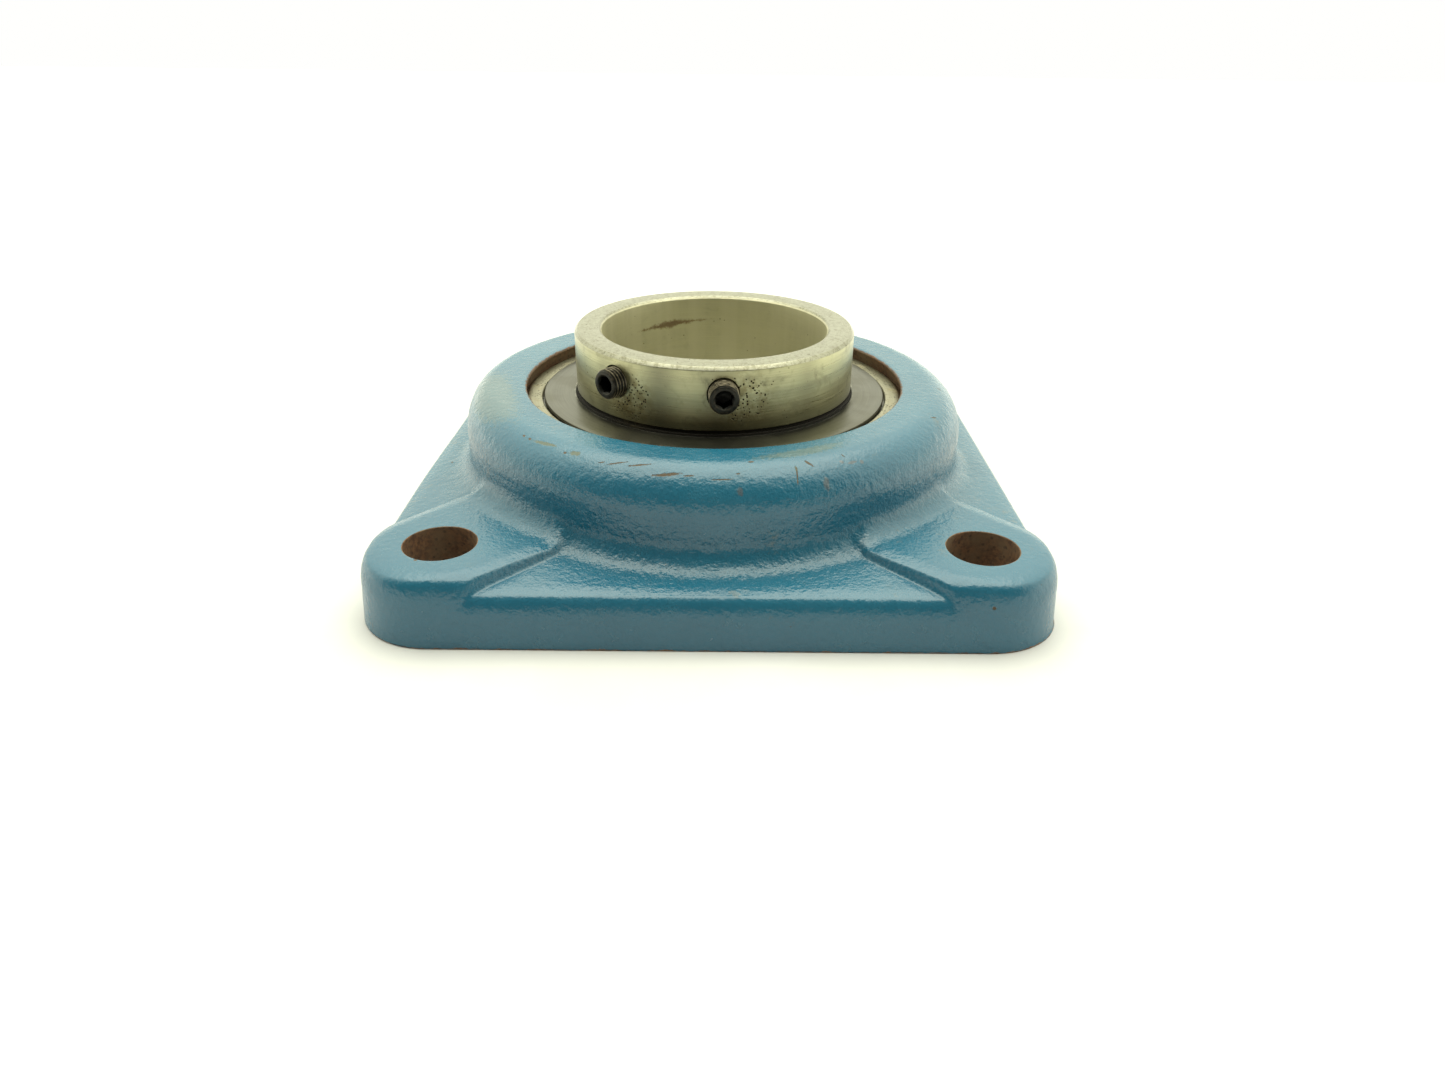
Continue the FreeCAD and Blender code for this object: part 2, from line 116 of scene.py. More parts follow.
# ---- mesh helpers ----
def make_object(name, vertices, faces, sharp=35.0):
    """Object from points in millimetres, smooth shaded except at edges sharper than an angle."""
    mesh = bpy.data.meshes.new(name)
    mesh.vertices.add(len(vertices))
    mesh.vertices.foreach_set("co", (np.asarray(vertices, float) * MM).ravel())
    sizes = np.array([len(f) for f in faces])
    mesh.loops.add(int(sizes.sum()))
    mesh.loops.foreach_set("vertex_index", np.concatenate([np.asarray(f) for f in faces]))
    mesh.polygons.add(len(faces))
    mesh.polygons.foreach_set("loop_start", np.concatenate([[0], np.cumsum(sizes)[:-1]]))
    mesh.update(calc_edges=True)
    mesh.validate()
    piece = bpy.data.objects.new(name, mesh)
    bpy.context.scene.collection.objects.link(piece)
    shade(piece, sharp)
    return piece


def shade(piece, sharp):
    """Smooth shading, with edges over an angle kept sharp."""
    work = bmesh.new()
    work.from_mesh(piece.data)
    bmesh.ops.recalc_face_normals(work, faces=work.faces)
    limit = math.radians(sharp)
    for face in work.faces:
        face.smooth = True
    for edge in work.edges:
        edge.smooth = len(edge.link_faces) != 2 or edge.calc_face_angle(0.0) < limit
    work.to_mesh(piece.data)
    work.free()


def grid_faces(rows, columns, wrap_columns):
    """Quads of a grid of points numbered row by row. The last row joins the first."""
    r = np.arange(rows)
    c = np.arange(columns if wrap_columns else columns - 1)
    rr, cc = np.meshgrid(r, c, indexing="ij")
    r2, c2 = (rr + 1) % rows, (cc + 1) % columns
    quads = np.stack([rr * columns + cc, r2 * columns + cc, r2 * columns + c2, rr * columns + c2], -1)
    return quads.reshape(-1, 4)


def rounded(corners, steps=3):
    """Closed outline of (r, z, radius) corners, each replaced by a small arc."""
    out = []
    count = len(corners)
    for i, corner in enumerate(corners):
        here = np.array(corner[:2], float)
        before = np.array(corners[i - 1][:2], float) - here
        after = np.array(corners[(i + 1) % count][:2], float) - here
        size = corner[2]
        la, lb = np.linalg.norm(before), np.linalg.norm(after)
        a, b = before / la, after / lb
        turn = math.pi - math.acos(max(-1.0, min(1.0, float(a @ b))))
        if turn < 0.05 or size <= 0:
            out.append(tuple(here))
            continue
        cut = min(size * math.tan(turn / 2), 0.45 * la, 0.45 * lb)
        r = cut / math.tan(turn / 2)
        centre = here + (a + b) / np.linalg.norm(a + b) * (r / math.cos(turn / 2))
        start, end = here + a * cut - centre, here + b * cut - centre
        for k in range(steps + 1):
            t = k / steps
            w = math.sin((1 - t) * turn) / math.sin(turn), math.sin(t * turn) / math.sin(turn)
            out.append(tuple(centre + start * w[0] + end * w[1]))
    return out


def arc(centre, radius, start, end, steps):
    """Points (r, z) on an arc; angles in degrees from the +r direction."""
    turns = np.radians(np.linspace(start, end, steps + 1))
    return [(centre[0] + radius * math.cos(t), centre[1] + radius * math.sin(t)) for t in turns]


def subdivided(outline, longest):
    """Closed outline with extra points so that no side is longer than a limit."""
    out = []
    for i, point in enumerate(outline):
        nxt = outline[(i + 1) % len(outline)]
        pieces = max(1, math.ceil(math.dist(point, nxt) / longest))
        for k in range(pieces):
            out.append(tuple(point[j] + (nxt[j] - point[j]) * k / pieces for j in (0, 1)))
    return out


def turned(outline, segments):
    """Points (r, z) carried round Z, direction by direction."""
    turns = np.linspace(0, 2 * math.pi, segments, endpoint=False)
    r, z = np.array(outline).T
    return np.stack([np.cos(turns)[:, None] * r, np.sin(turns)[:, None] * r,
                     np.ones(segments)[:, None] * z], -1).reshape(-1, 3)


def lathe(name, outline, segments, sharp=35.0):
    """Closed ring turned about Z from a closed outline of (r, z) points."""
    faces = grid_faces(segments, len(outline), True)
    return make_object(name, turned(outline, segments), faces, sharp)


def spindle(name, outline, segments, sharp=35.0):
    """Solid turned about Z from an open outline whose first and last points are on the axis."""
    columns = len(outline) - 2
    faces = [tuple(q) for q in grid_faces(segments, columns, False)]
    points = np.vstack([turned(outline[1:-1], segments), [0, 0, outline[0][1]], [0, 0, outline[-1][1]]])
    first, last = len(points) - 2, len(points) - 1
    for i in range(segments):
        j = (i + 1) % segments
        faces.append((first, j * columns, i * columns))
        faces.append((last, i * columns + columns - 1, j * columns + columns - 1))
    return make_object(name, points, faces, sharp)


def aim(piece, start, direction):
    """Bake a turn of +Z to a direction, and a move to a point in millimetres, into a mesh."""
    turn = Vector((0, 0, 1)).rotation_difference(Vector(direction).normalized()).to_matrix().to_4x4()
    piece.data.transform(Matrix.Translation(Vector(start) * MM) @ turn)


def cut_away(piece, cutters):
    """Exact boolean of a piece with cutters, which are then removed."""
    for cutter in cutters:
        step = piece.modifiers.new("cut", "BOOLEAN")
        step.operation = "DIFFERENCE"
        step.solver = "EXACT"
        step.object = cutter
        step.material_mode = "TRANSFER"
    bpy.context.view_layer.update()
    graph = bpy.context.evaluated_depsgraph_get()
    cut = bpy.data.meshes.new_from_object(piece.evaluated_get(graph), depsgraph=graph)
    piece.modifiers.clear()
    piece.data = cut
    for cutter in cutters:
        bpy.data.objects.remove(cutter)


def polar(radius, degrees, height=0.0):
    """Point at an angle from the front (-Y), positive towards +X."""
    angle = math.radians(degrees)
    return Vector((radius * math.sin(angle), -radius * math.cos(angle), height))


# ---- node helpers ----
class Nodes:
    """Empty node tree of a material or a world, filled by calls that return sockets."""

    def __init__(self, owner, output):
        owner.use_nodes = True
        self.tree = owner.node_tree
        self.tree.nodes.clear()
        self.out = self.tree.nodes.new(output)

    def feed(self, socket, value):
        """Link a socket, or set its value."""
        if isinstance(value, bpy.types.NodeSocket):
            self.tree.links.new(value, socket)
        elif isinstance(value, (tuple, list)) and len(value) == 3 and len(socket.default_value) == 4:
            socket.default_value = (*value, 1.0)
        else:
            socket.default_value = value

    def operate(self, kind, operation, values):
        """First output of a node whose inputs take the values in order."""
        node = self.tree.nodes.new(kind)
        if operation:
            node.operation = operation
        for socket, value in zip(node.inputs, values):
            self.feed(socket, value)
        return node.outputs[0]

    def math(self, operation, *values):
        return self.operate("ShaderNodeMath", operation, values)

    def times(self, a, b):
        return self.math("MULTIPLY", a, b)

    def plus(self, a, b):
        return self.math("ADD", a, b)

    def minus(self, a, b):
        return self.math("SUBTRACT", a, b)

    def most(self, a, b):
        return self.math("MAXIMUM", a, b)

    def vector(self, operation, *values):
        return self.operate("ShaderNodeVectorMath", operation, values)

    def combine(self, *parts):
        return self.operate("ShaderNodeCombineXYZ", None, parts)

    def split(self, socket):
        """The three parts of a vector."""
        node = self.tree.nodes.new("ShaderNodeSeparateXYZ")
        self.tree.links.new(socket, node.inputs[0])
        return node.outputs

    def step(self, value, low, high, to_low=0.0, to_high=1.0, smooth=True):
        """Value mapped from one range to another, clamped, with soft ends."""
        node = self.tree.nodes.new("ShaderNodeMapRange")
        node.interpolation_type = "SMOOTHSTEP" if smooth else "LINEAR"
        for name, number in (("Value", value), ("From Min", low), ("From Max", high),
                             ("To Min", to_low), ("To Max", to_high)):
            self.feed(node.inputs[name], number)
        return node.outputs["Result"]

    def mix(self, share, a, b, kind="RGBA", sockets=(0, 6, 7), output=2):
        """Colour between a and b."""
        node = self.tree.nodes.new("ShaderNodeMix")
        node.data_type = kind
        for socket, value in zip(sockets, (share, a, b)):
            self.feed(node.inputs[socket], value)
        return node.outputs[output]

    def blend(self, share, a, b):
        """Plain number between a and b."""
        return self.mix(share, a, b, "FLOAT", (0, 2, 3), 0)


class Material(Nodes):
    """Material whose places and distances are in the object's millimetres."""

    def __init__(self, name):
        self.material = bpy.data.materials.new(name)
        super().__init__(self.material, "ShaderNodeOutputMaterial")
        place = self.tree.nodes.new("ShaderNodeTexCoord").outputs["Object"]
        self.mm = self.vector("MULTIPLY", place, (1 / MM, 1 / MM, 1 / MM))
        self.x, self.y, self.z = self.split(self.mm)

    def noise(self, size, detail=2.0, rough=0.5, at=None, twist=0.0):
        """Noise between 0 and 1 whose lumps are about size across."""
        node = self.tree.nodes.new("ShaderNodeTexNoise")
        self.feed(node.inputs["Vector"], self.mm if at is None else at)
        node.inputs["Scale"].default_value = 1.0 / size
        node.inputs["Detail"].default_value = detail
        node.inputs["Roughness"].default_value = rough
        node.inputs["Distortion"].default_value = twist
        return node.outputs["Fac"]

    def cells(self, size):
        """Distance to the nearest of a field of scattered points."""
        node = self.tree.nodes.new("ShaderNodeTexVoronoi")
        self.feed(node.inputs["Vector"], self.mm)
        node.inputs["Scale"].default_value = 1.0 / size
        return node.outputs["Distance"]

    def radius(self):
        """Distance from the Z axis."""
        return self.math("SQRT", self.plus(self.times(self.x, self.x), self.times(self.y, self.y)))

    def front_angle(self):
        """Angle in degrees from the front (-Y), positive towards +X."""
        turn = self.math("ARCTAN2", self.x, self.times(self.y, -1.0))
        return self.times(turn, 180 / math.pi)

    def distance(self, point):
        """Distance from a fixed point in millimetres."""
        return self.vector("DISTANCE", self.mm, point).node.outputs["Value"]

    def bump(self, height, depth, under=None):
        """Normal bent by a height between 0 and 1 that is depth millimetres tall."""
        node = self.tree.nodes.new("ShaderNodeBump")
        node.inputs["Strength"].default_value = 1.0
        node.inputs["Distance"].default_value = depth * MM
        self.feed(node.inputs["Height"], height)
        if under is not None:
            self.feed(node.inputs["Normal"], under)
        return node.outputs["Normal"]

    def finish(self, **settings):
        """Principled shader with these inputs, into the output."""
        shader = self.tree.nodes.new("ShaderNodeBsdfPrincipled")
        for name, value in settings.items():
            self.feed(shader.inputs[name.replace("_", " ")], value)
        self.tree.links.new(shader.outputs[0], self.out.inputs["Surface"])
        return self.material


# ---- materials ----
RUST_DARK = (0.085, 0.042, 0.024)
RUST_LIGHT = (0.205, 0.108, 0.055)


def rust_look(n, size=3.0):
    """Colour of old brown rust."""
    return n.mix(n.step(n.noise(size, 6, 0.65), 0.35, 0.65), RUST_DARK, RUST_LIGHT)


def paint_material():
    """Blue enamel over rough cast iron, scuffed to primer and rust in places."""
    n = Material("blue_enamel")
    r = n.radius()
    cloudy = n.noise(38, 3, 0.5)
    fine = n.noise(6, 4, 0.6)
    blue = n.mix(n.step(cloudy, 0.3, 0.7), (0.0098, 0.103, 0.176), (0.0128, 0.119, 0.197))
    blue = n.mix(n.step(fine, 0.45, 0.75, 0, 0.25), blue, (0.024, 0.125, 0.196))

    # Two coordinates on the boss: millimetres round it, and millimetres outwards over its shoulder.
    flat_r = BOSS_R - SHOULDER_REACH
    across = n.times(SHOULDER_DROP, n.math(
        "ARCTAN2", n.minus(r, flat_r), n.minus(n.z, BOSS_TOP - SHOULDER_DROP)))
    along = n.times(n.front_angle(), math.radians(BOSS_R))
    on_boss = n.step(n.z, PAD_TOP + 9, PAD_TOP + 12)
    ragged = n.times(n.minus(n.noise(1.3, 5, 0.75), 0.5), 2.4)
    marks = {}
    rows = [(kind, *scuff) for kind, scuffs in SCUFFS.items() for scuff in scuffs]
    for kind, degrees, offset, length, width, lean in rows:
        u = n.minus(along, BOSS_R * math.radians(degrees))
        v = n.minus(across, offset)
        c, s = math.cos(math.radians(lean)), math.sin(math.radians(lean))
        u2 = n.plus(n.times(u, c / length), n.times(v, s / length))
        v2 = n.minus(n.times(v, c / width), n.times(u, s / width))
        away = n.math("SQRT", n.plus(n.times(u2, u2), n.times(v2, v2)))
        mark = n.step(n.plus(away, ragged), 1.25, 0.75)
        marks[kind] = mark if kind not in marks else n.most(marks[kind], mark)
    marks = {kind: n.times(mark, on_boss) for kind, mark in marks.items()}

    # Small chips anywhere.
    lumpy = n.times(n.minus(n.noise(0.8, 3, 0.6), 0.5), 0.07)
    chips = n.times(n.step(n.plus(n.cells(15.0), lumpy), 0.045, 0.03), n.step(n.noise(34), 0.5, 0.56))
    worn = n.most(n.most(marks["primer"], marks["brown"]), chips)

    # Rust creeping up from the machined underside, and round the mouth of the seat.
    creep = n.plus(n.z, n.times(n.minus(n.noise(4, 4, 0.7), 0.5), 2.4))
    foot = n.step(creep, 0.6, 0.2)
    rim = n.plus(n.minus(r, MOUTH_R), n.times(n.noise(2.5, 4, 0.7), 1.6))
    rim = n.times(n.step(rim, 1.6, 0.9), on_boss)
    bare = n.most(foot, rim)

    colour = n.mix(n.times(marks["primer"], 0.9), blue, (0.125, 0.145, 0.105))
    colour = n.mix(n.times(marks["dust"], 0.28), colour, (0.2, 0.19, 0.09))
    colour = n.mix(n.times(marks["rust"], 0.42), colour, (0.13, 0.075, 0.04))
    colour = n.mix(n.most(marks["brown"], chips), colour, (0.075, 0.05, 0.026))
    colour = n.mix(bare, colour, rust_look(n))
    specks = n.times(n.step(n.cells(5.5), 0.06, 0.03), n.step(n.noise(22), 0.52, 0.6))
    colour = n.mix(n.times(specks, 0.7), colour, (0.03, 0.03, 0.02))
    stained = n.step(n.noise(50), 0.45, 0.6, 0, 0.35)
    stain = n.times(n.step(n.noise(11, 5, 0.7), 0.6, 0.72), stained)
    colour = n.mix(stain, colour, (0.16, 0.13, 0.07))

    # Orange peel, coarse on the wall and foot of the boss and finer on the flats.
    rough_zone = n.times(n.step(r, 104, 97), n.step(across, 4, 16))
    grain = n.plus(n.times(n.noise(1.7), 0.7), n.times(n.noise(0.7), 0.3))
    normal = n.bump(n.times(grain, n.blend(rough_zone, 0.7, 1.0)), 0.42)
    normal = n.bump(n.minus(1.0, worn), 0.06, normal)
    gloss = n.blend(n.most(worn, bare), n.step(fine, 0.3, 0.7, 0.2, 0.28), 0.75)
    return n.finish(Base_Color=colour, Roughness=gloss, Normal=normal, IOR=1.64)


# Scuffs on the boss, by what shows in them: degrees from the front, millimetres across the
# shoulder, half length and half width in millimetres, and lean in degrees.
SCUFFS = {
    "primer": ((-39.8, 4.9, 5.0, 0.65, -6), (-30.8, 5.0, 2.0, 0.85, -12), (17.5, 6.3, 1.1, 0.4, 95),
        (112, 6.0, 3.4, 0.6, 12), (-150, 7.0, 2.6, 0.55, -15)),
    "brown": ((-46.8, 5.3, 0.6, 0.4, 0), (-44.5, 5.4, 0.7, 0.4, 0), (-33.1, 5.8, 0.6, 0.45, 0),
        (-23.7, 6.1, 1.0, 0.22, -21), (-20.3, 5.4, 3.2, 0.26, -20), (-15.3, 4.9, 3.6, 0.34, -14),
        (-9.0, 7.4, 4.2, 0.55, -9), (-4.7, 7.4, 1.5, 0.26, -2), (2.2, 8.4, 3.4, 0.2, -2),
        (5.2, 6.5, 0.6, 0.35, 0), (8.4, 1.7, 0.9, 0.4, 0), (17.3, 8.6, 2.8, 0.24, 98),
        (20.7, 4.8, 1.6, 0.42, 52), (29.3, 4.4, 0.8, 0.22, 65), (64, 5.5, 1.6, 0.3, 30),
        (84, 4.5, 1.4, 0.35, -50), (155, 5.5, 2.6, 0.4, -20), (-122, 6.2, 3.8, 0.4, 8)),
    "rust": ((23.1, 12.6, 2.2, 1.0, 90), (5.4, 12.5, 1.4, 0.9, 90), (28.1, 6.4, 0.7, 0.6, 0),
        (30.4, 7.4, 1.6, 0.5, 0), (32.7, 8.0, 0.7, 0.6, 0)),
    "dust": ((21.0, -1.6, 17.0, 2.2, -3), (-74.0, 3.0, 26.0, 7.5, 0)),
}


def bare_iron_material():
    """Machined iron of the seat, holes and underside, gone brown."""
    n = Material("bare_iron")
    colour = n.mix(n.step(n.noise(9, 5, 0.6), 0.35, 0.7), rust_look(n, 1.6), (0.17, 0.115, 0.07))
    spots = n.step(n.cells(2.4), 0.3, 0.12)
    colour = n.mix(n.times(spots, 0.5), colour, (0.02, 0.012, 0.008))
    normal = n.bump(n.noise(0.8, 5, 0.65), 0.18)
    return n.finish(Base_Color=colour, Roughness=0.78, Normal=normal, Metallic=0.15)


def turned_lines(n, size, slow=26.0):
    """Fine circular tool lines about the shaft axis, on faces and walls alike."""
    level = n.plus(n.z, n.radius())
    at = n.combine(n.math("DIVIDE", n.x, slow), n.math("DIVIDE", n.y, slow), n.math("DIVIDE", level, size))
    return n.noise(1.0, 4, 0.7, at=at)


def ground_ring_material():
    """Inner ring: ground steel with circular lines, pits, stains and handling marks, with painted dark reflections
    across the collar's front and painted shade at its foot and in the groove under the collar.
    """
    n = Material("ground_steel")
    r = n.radius()
    lines = turned_lines(n, 0.35)
    broad = turned_lines(n, 3.0, 60.0)
    steel = n.mix(n.step(lines, 0.3, 0.7), (0.415, 0.405, 0.247), (0.5, 0.49, 0.306))
    steel = n.mix(n.step(broad, 0.42, 0.68, 0, 0.3), steel, (0.21, 0.2, 0.14))
    smear = n.step(n.noise(7, 5, 0.65, twist=0.8), 0.5, 0.72)
    steel = n.mix(n.times(smear, 0.55), steel, (0.17, 0.165, 0.105))

    # Painted dark reflections: darker bands across the collar's front at fixed angles. Painted shade: a darker
    # foot.
    angle = n.front_angle()
    side_wall = n.step(r, BORE_R + 5, BORE_R + 8)
    for degrees, half, share in ((-20.5, 10.0, 0.55), (1.5, 12.0, 0.42), (-47.0, 7.0, 0.3), (38.0, 9.0, 0.3)):
        away = n.math("ABSOLUTE", n.minus(angle, degrees))
        band = n.times(n.step(away, half, 0.0, 0, share), side_wall)
        steel = n.mix(band, steel, (0.115, 0.112, 0.082))
    foot = n.times(n.step(n.z, COLLAR_Z + 6.5, COLLAR_Z, 0, 0.55), side_wall)
    steel = n.mix(foot, steel, (0.1, 0.098, 0.07))

    # Mottled handling marks on the end face.
    on_end = n.step(n.z, RING_HIGH.z - 1.3, RING_HIGH.z - 0.9)
    steel = n.mix(on_end, steel, (0.32, 0.318, 0.25))
    mottle = n.step(n.noise(2.0, 5, 0.8, twist=1.5), 0.45, 0.6)
    steel = n.mix(n.times(n.times(on_end, mottle), 0.74), steel, (0.16, 0.15, 0.1))

    # Painted shadow in the groove under the collar.
    uneven_z = n.plus(n.z, n.times(n.noise(2.0, 3, 0.6), 0.5))
    groove = n.step(uneven_z, COLLAR_Z + 0.55, COLLAR_Z + 0.25)
    groove = n.times(groove, n.step(r, BORE_R + 2, BORE_R + 3))
    steel = n.mix(groove, steel, (0.016, 0.014, 0.011))

    # A brown streak low on the bore wall, behind and to the left.
    in_bore = n.step(r, BORE_R + 0.6, BORE_R + 0.2)
    bands = n.noise(1.0, 3, 0.6, at=n.combine(n.math("DIVIDE", n.x, 7.0), n.math("DIVIDE", n.y, 7.0), 0.0))
    steel = n.mix(n.times(in_bore, n.step(bands, 0.3, 0.7, 0.5, 0.9)), steel, (0.555, 0.53, 0.365))
    behind = n.math("ABSOLUTE", n.plus(angle, 154.0))
    middle = n.plus(RING_HIGH.z - 8.9, n.times(n.x, 0.07))
    band = n.math("ABSOLUTE", n.minus(n.z, middle))
    streak = n.plus(n.math("DIVIDE", behind, 24.0), n.math("DIVIDE", band, 1.9))
    streak = n.plus(streak, n.times(n.noise(0.8, 3, 0.7), 1.1))
    streak = n.step(n.plus(streak, n.times(n.noise(2.2, 5, 0.75), 1.5)), 2.35, 1.65)
    streak = n.times(streak, in_bore)
    steel = n.mix(n.times(streak, 0.8), steel, (0.135, 0.068, 0.026))

    # Pits: a sparse field, thick round the two screws, mostly below and to their right.
    near = None
    for name, (turn, drop) in PITTED.items():
        spot = polar(RING_HIGH.x, SCREWS[name] + turn, SCREW_Z - drop)
        cloud = n.step(n.distance(spot), 13.5, 3.0)
        near = cloud if near is None else n.most(near, cloud)
    sparse = n.times(n.step(n.cells(2.1), 0.13, 0.06), n.step(n.noise(7, 3, 0.6), 0.52, 0.6))
    ragged = n.times(n.minus(n.noise(0.4, 3, 0.6), 0.5), 0.3)
    thick = n.times(n.step(n.plus(n.cells(1.05), ragged), 0.36, 0.22),
                   n.step(n.times(n.noise(2.4, 3, 0.65), near), 0.22, 0.36))
    pits = n.most(sparse, thick)
    stain = n.times(near, n.step(n.noise(3.5, 4, 0.6), 0.36, 0.62, 0, 0.7))
    steel = n.mix(stain, steel, (0.17, 0.135, 0.058))
    steel = n.mix(n.times(pits, 0.95), steel, (0.022, 0.015, 0.008))

    height = n.plus(n.times(lines, 0.5), n.times(turned_lines(n, 0.12, 12.0), 0.5))
    normal = n.bump(height, 0.012)
    normal = n.bump(n.minus(1.0, pits), 0.1, normal)
    spread = n.step(n.plus(n.times(smear, 0.3), lines), 0.3, 1.1, 0.27, 0.46)
    spread = n.blend(n.most(n.most(pits, streak), groove), spread, 0.8)
    spread = n.blend(in_bore, spread, 0.42)
    metal = n.blend(n.most(groove, in_bore), 0.93, 0.6)
    around = n.tree.nodes.new("ShaderNodeTangent")
    around.direction_type = "RADIAL"
    around.axis = "Z"
    return n.finish(Base_Color=steel, Metallic=metal, Roughness=spread, Normal=normal, Anisotropic=0.5,
                    Anisotropic_Rotation=0.25, Tangent=around.outputs[0])


def outer_ring_material():
    """Outer ring face: pale ground steel with dark pits and brown tarnish at its edge."""
    n = Material("outer_ring_steel")
    lines = turned_lines(n, 0.4)
    steel = n.mix(n.step(lines, 0.3, 0.7), (0.25, 0.238, 0.165), (0.345, 0.33, 0.24))
    tarnish = n.step(n.noise(8, 5, 0.65), 0.48, 0.72)
    steel = n.mix(n.times(tarnish, 0.55), steel, (0.3, 0.25, 0.15))
    uneven_r = n.plus(n.radius(), n.times(n.noise(3, 4, 0.6), 2.4))
    edge = n.step(uneven_r, SPHERE_R - 3.0, SPHERE_R - 1.2)
    steel = n.mix(n.times(edge, 0.8), steel, (0.13, 0.085, 0.045))
    pits = n.times(n.step(n.cells(1.1), 0.38, 0.24), n.step(n.noise(5, 3, 0.6), 0.4, 0.52))
    steel = n.mix(n.times(pits, 0.95), steel, (0.035, 0.027, 0.016))
    normal = n.bump(lines, 0.01)
    normal = n.bump(n.minus(1.0, pits), 0.08, normal)
    return n.finish(Base_Color=steel, Metallic=0.9, Roughness=n.step(tarnish, 0, 1, 0.36, 0.6), Normal=normal)


def flinger_material():
    """Pressed dark sheet with faint circular lines, specks and a few bright nicks, a painted highlight round the
    hub's edge and painted shadow on the hub.
    """
    n = Material("flinger_steel")
    lines = turned_lines(n, 0.5)
    steel = n.mix(n.step(lines, 0.3, 0.7), (0.098, 0.097, 0.08), (0.132, 0.13, 0.106))
    cloud = n.step(n.noise(14, 4, 0.6), 0.4, 0.7)
    steel = n.mix(n.times(cloud, 0.35), steel, (0.12, 0.113, 0.085))
    specks = n.times(n.step(n.cells(3.1), 0.1, 0.05), n.step(n.noise(9), 0.48, 0.56))
    steel = n.mix(n.times(specks, 0.8), steel, (0.03, 0.025, 0.018))
    nicked = n.step(n.radius(), FLINGER_R - 8.5, FLINGER_R - 9.5)
    nicks = n.times(n.step(n.cells(9.0), 0.045, 0.025), nicked)
    steel = n.mix(nicks, steel, (0.6, 0.58, 0.5))
    # Painted highlight: a broken light line round the top edge of the hub.
    from_line = n.math("ABSOLUTE", n.minus(n.radius(), FLINGER_SEAT_R + 0.75))
    line = n.times(n.step(from_line, 0.3, 0.1, 0, 0.5), n.step(n.noise(4, 3, 0.6), 0.45, 0.6))
    steel = n.mix(line, steel, (0.42, 0.41, 0.34))
    # Painted shadow: the hub under the collar is near black, rough and barely metallic.
    hub = n.step(n.radius(), FLINGER_SEAT_R + 0.55, FLINGER_SEAT_R + 0.35)
    steel = n.mix(hub, steel, (0.01, 0.01, 0.008))
    normal = n.bump(n.plus(n.times(lines, 0.15), n.noise(18)), 0.05)
    return n.finish(Base_Color=steel, Metallic=n.blend(hub, 0.88, 0.2),
                    Roughness=n.blend(hub, n.step(cloud, 0, 1, 0.3, 0.4), 0.95), Normal=normal)


def screw_material():
    """Black oxide with a brownish bloom where the crests are rubbed, and painted shade in the socket."""
    n = Material("black_oxide_steel")
    bloom = n.step(n.noise(1.1, 4, 0.65), 0.44, 0.68)
    black = n.mix(n.times(bloom, 0.5), (0.02, 0.02, 0.017), (0.08, 0.064, 0.044))
    # Distance from the nearer screw's axis, to find the crests of its thread and its face.
    nearest = None
    for name in SCREWS:
        arm = n.vector("SUBTRACT", n.mm, screw_point(name, 0.0))
        off = n.vector("LENGTH", n.vector("CROSS_PRODUCT", arm, polar(1, SCREWS[name]))).node.outputs["Value"]
        nearest = off if nearest is None else n.math("MINIMUM", nearest, off)
    crest = n.step(nearest, SCREW_R - 0.28, SCREW_R - 0.1, 0, 0.8)
    black = n.mix(n.times(crest, n.step(n.noise(2.0, 3, 0.6), 0.3, 0.52)), black, (0.26, 0.225, 0.155))
    # Painted shade: the hexagon socket and its mouth are near black.
    socket = n.step(nearest, SOCKET / 2 + 0.7, SOCKET / 2 + 0.3)
    black = n.mix(socket, black, (0.008, 0.008, 0.007))
    normal = n.bump(n.noise(0.35, 3, 0.6), 0.02)
    return n.finish(Base_Color=black, Metallic=0.75, Normal=normal,
                    Roughness=n.step(bloom, 0, 1, 0.34, 0.52))


def plain_steel_material(name, light, dark, rough, size, depth=0.01):
    """Steel with slow colour variation and a fine grain."""
    n = Material(name)
    colour = n.mix(n.step(n.noise(size, 4, 0.6), 0.35, 0.65), light, dark)
    normal = n.bump(n.noise(size / 12, 3, 0.6), depth)
    return n.finish(Base_Color=colour, Metallic=1.0, Normal=normal,
                    Roughness=n.step(n.noise(size, 3, 0.5), 0.3, 0.7, rough, rough * 1.4))


def rubber_material():
    """Smooth black moulded rubber with a trace of grease."""
    n = Material("seal_rubber")
    grease = n.step(n.noise(6, 4, 0.6), 0.5, 0.62)
    colour = n.mix(grease, (0.012, 0.012, 0.012), (0.03, 0.024, 0.014))
    return n.finish(Base_Color=colour, Roughness=n.step(grease, 0, 1, 0.55, 0.25),
                    Normal=n.bump(n.noise(0.5, 3, 0.5), 0.02))


# ---- housing ----
def directions():
    """Angles round the casting, closer together where the pads' steps run outwards."""
    eighth = np.concatenate([np.linspace(0, 29, 43, endpoint=False),
                             np.linspace(29, 34.2, 32, endpoint=False), np.linspace(34.2, 45, 17)])
    quarter = np.concatenate([eighth, 90 - eighth[-2:0:-1]])
    return np.radians(np.concatenate([quarter + 90 * k for k in range(4)]))


def outline_reach(turns, inset):
    """Distance from the axis to the flange outline, moved in by inset, in each direction."""
    a = np.maximum(np.abs(np.cos(turns)), np.abs(np.sin(turns)))
    b = np.minimum(np.abs(np.cos(turns)), np.abs(np.sin(turns)))
    half = FLANGE_HALF - inset
    corner = CORNER_R - inset
    centre = half - corner
    straight = half / a
    across = (a + b) * centre
    bend = across + np.sqrt(np.maximum(across ** 2 - 2 * centre ** 2 + corner ** 2, 0))
    return np.where(straight * b <= centre, straight, bend)


def smooth(value, low, high):
    """Soft step from 0 to 1."""
    t = np.clip((value - low) / (high - low), 0, 1)
    return t * t * (3 - 2 * t)


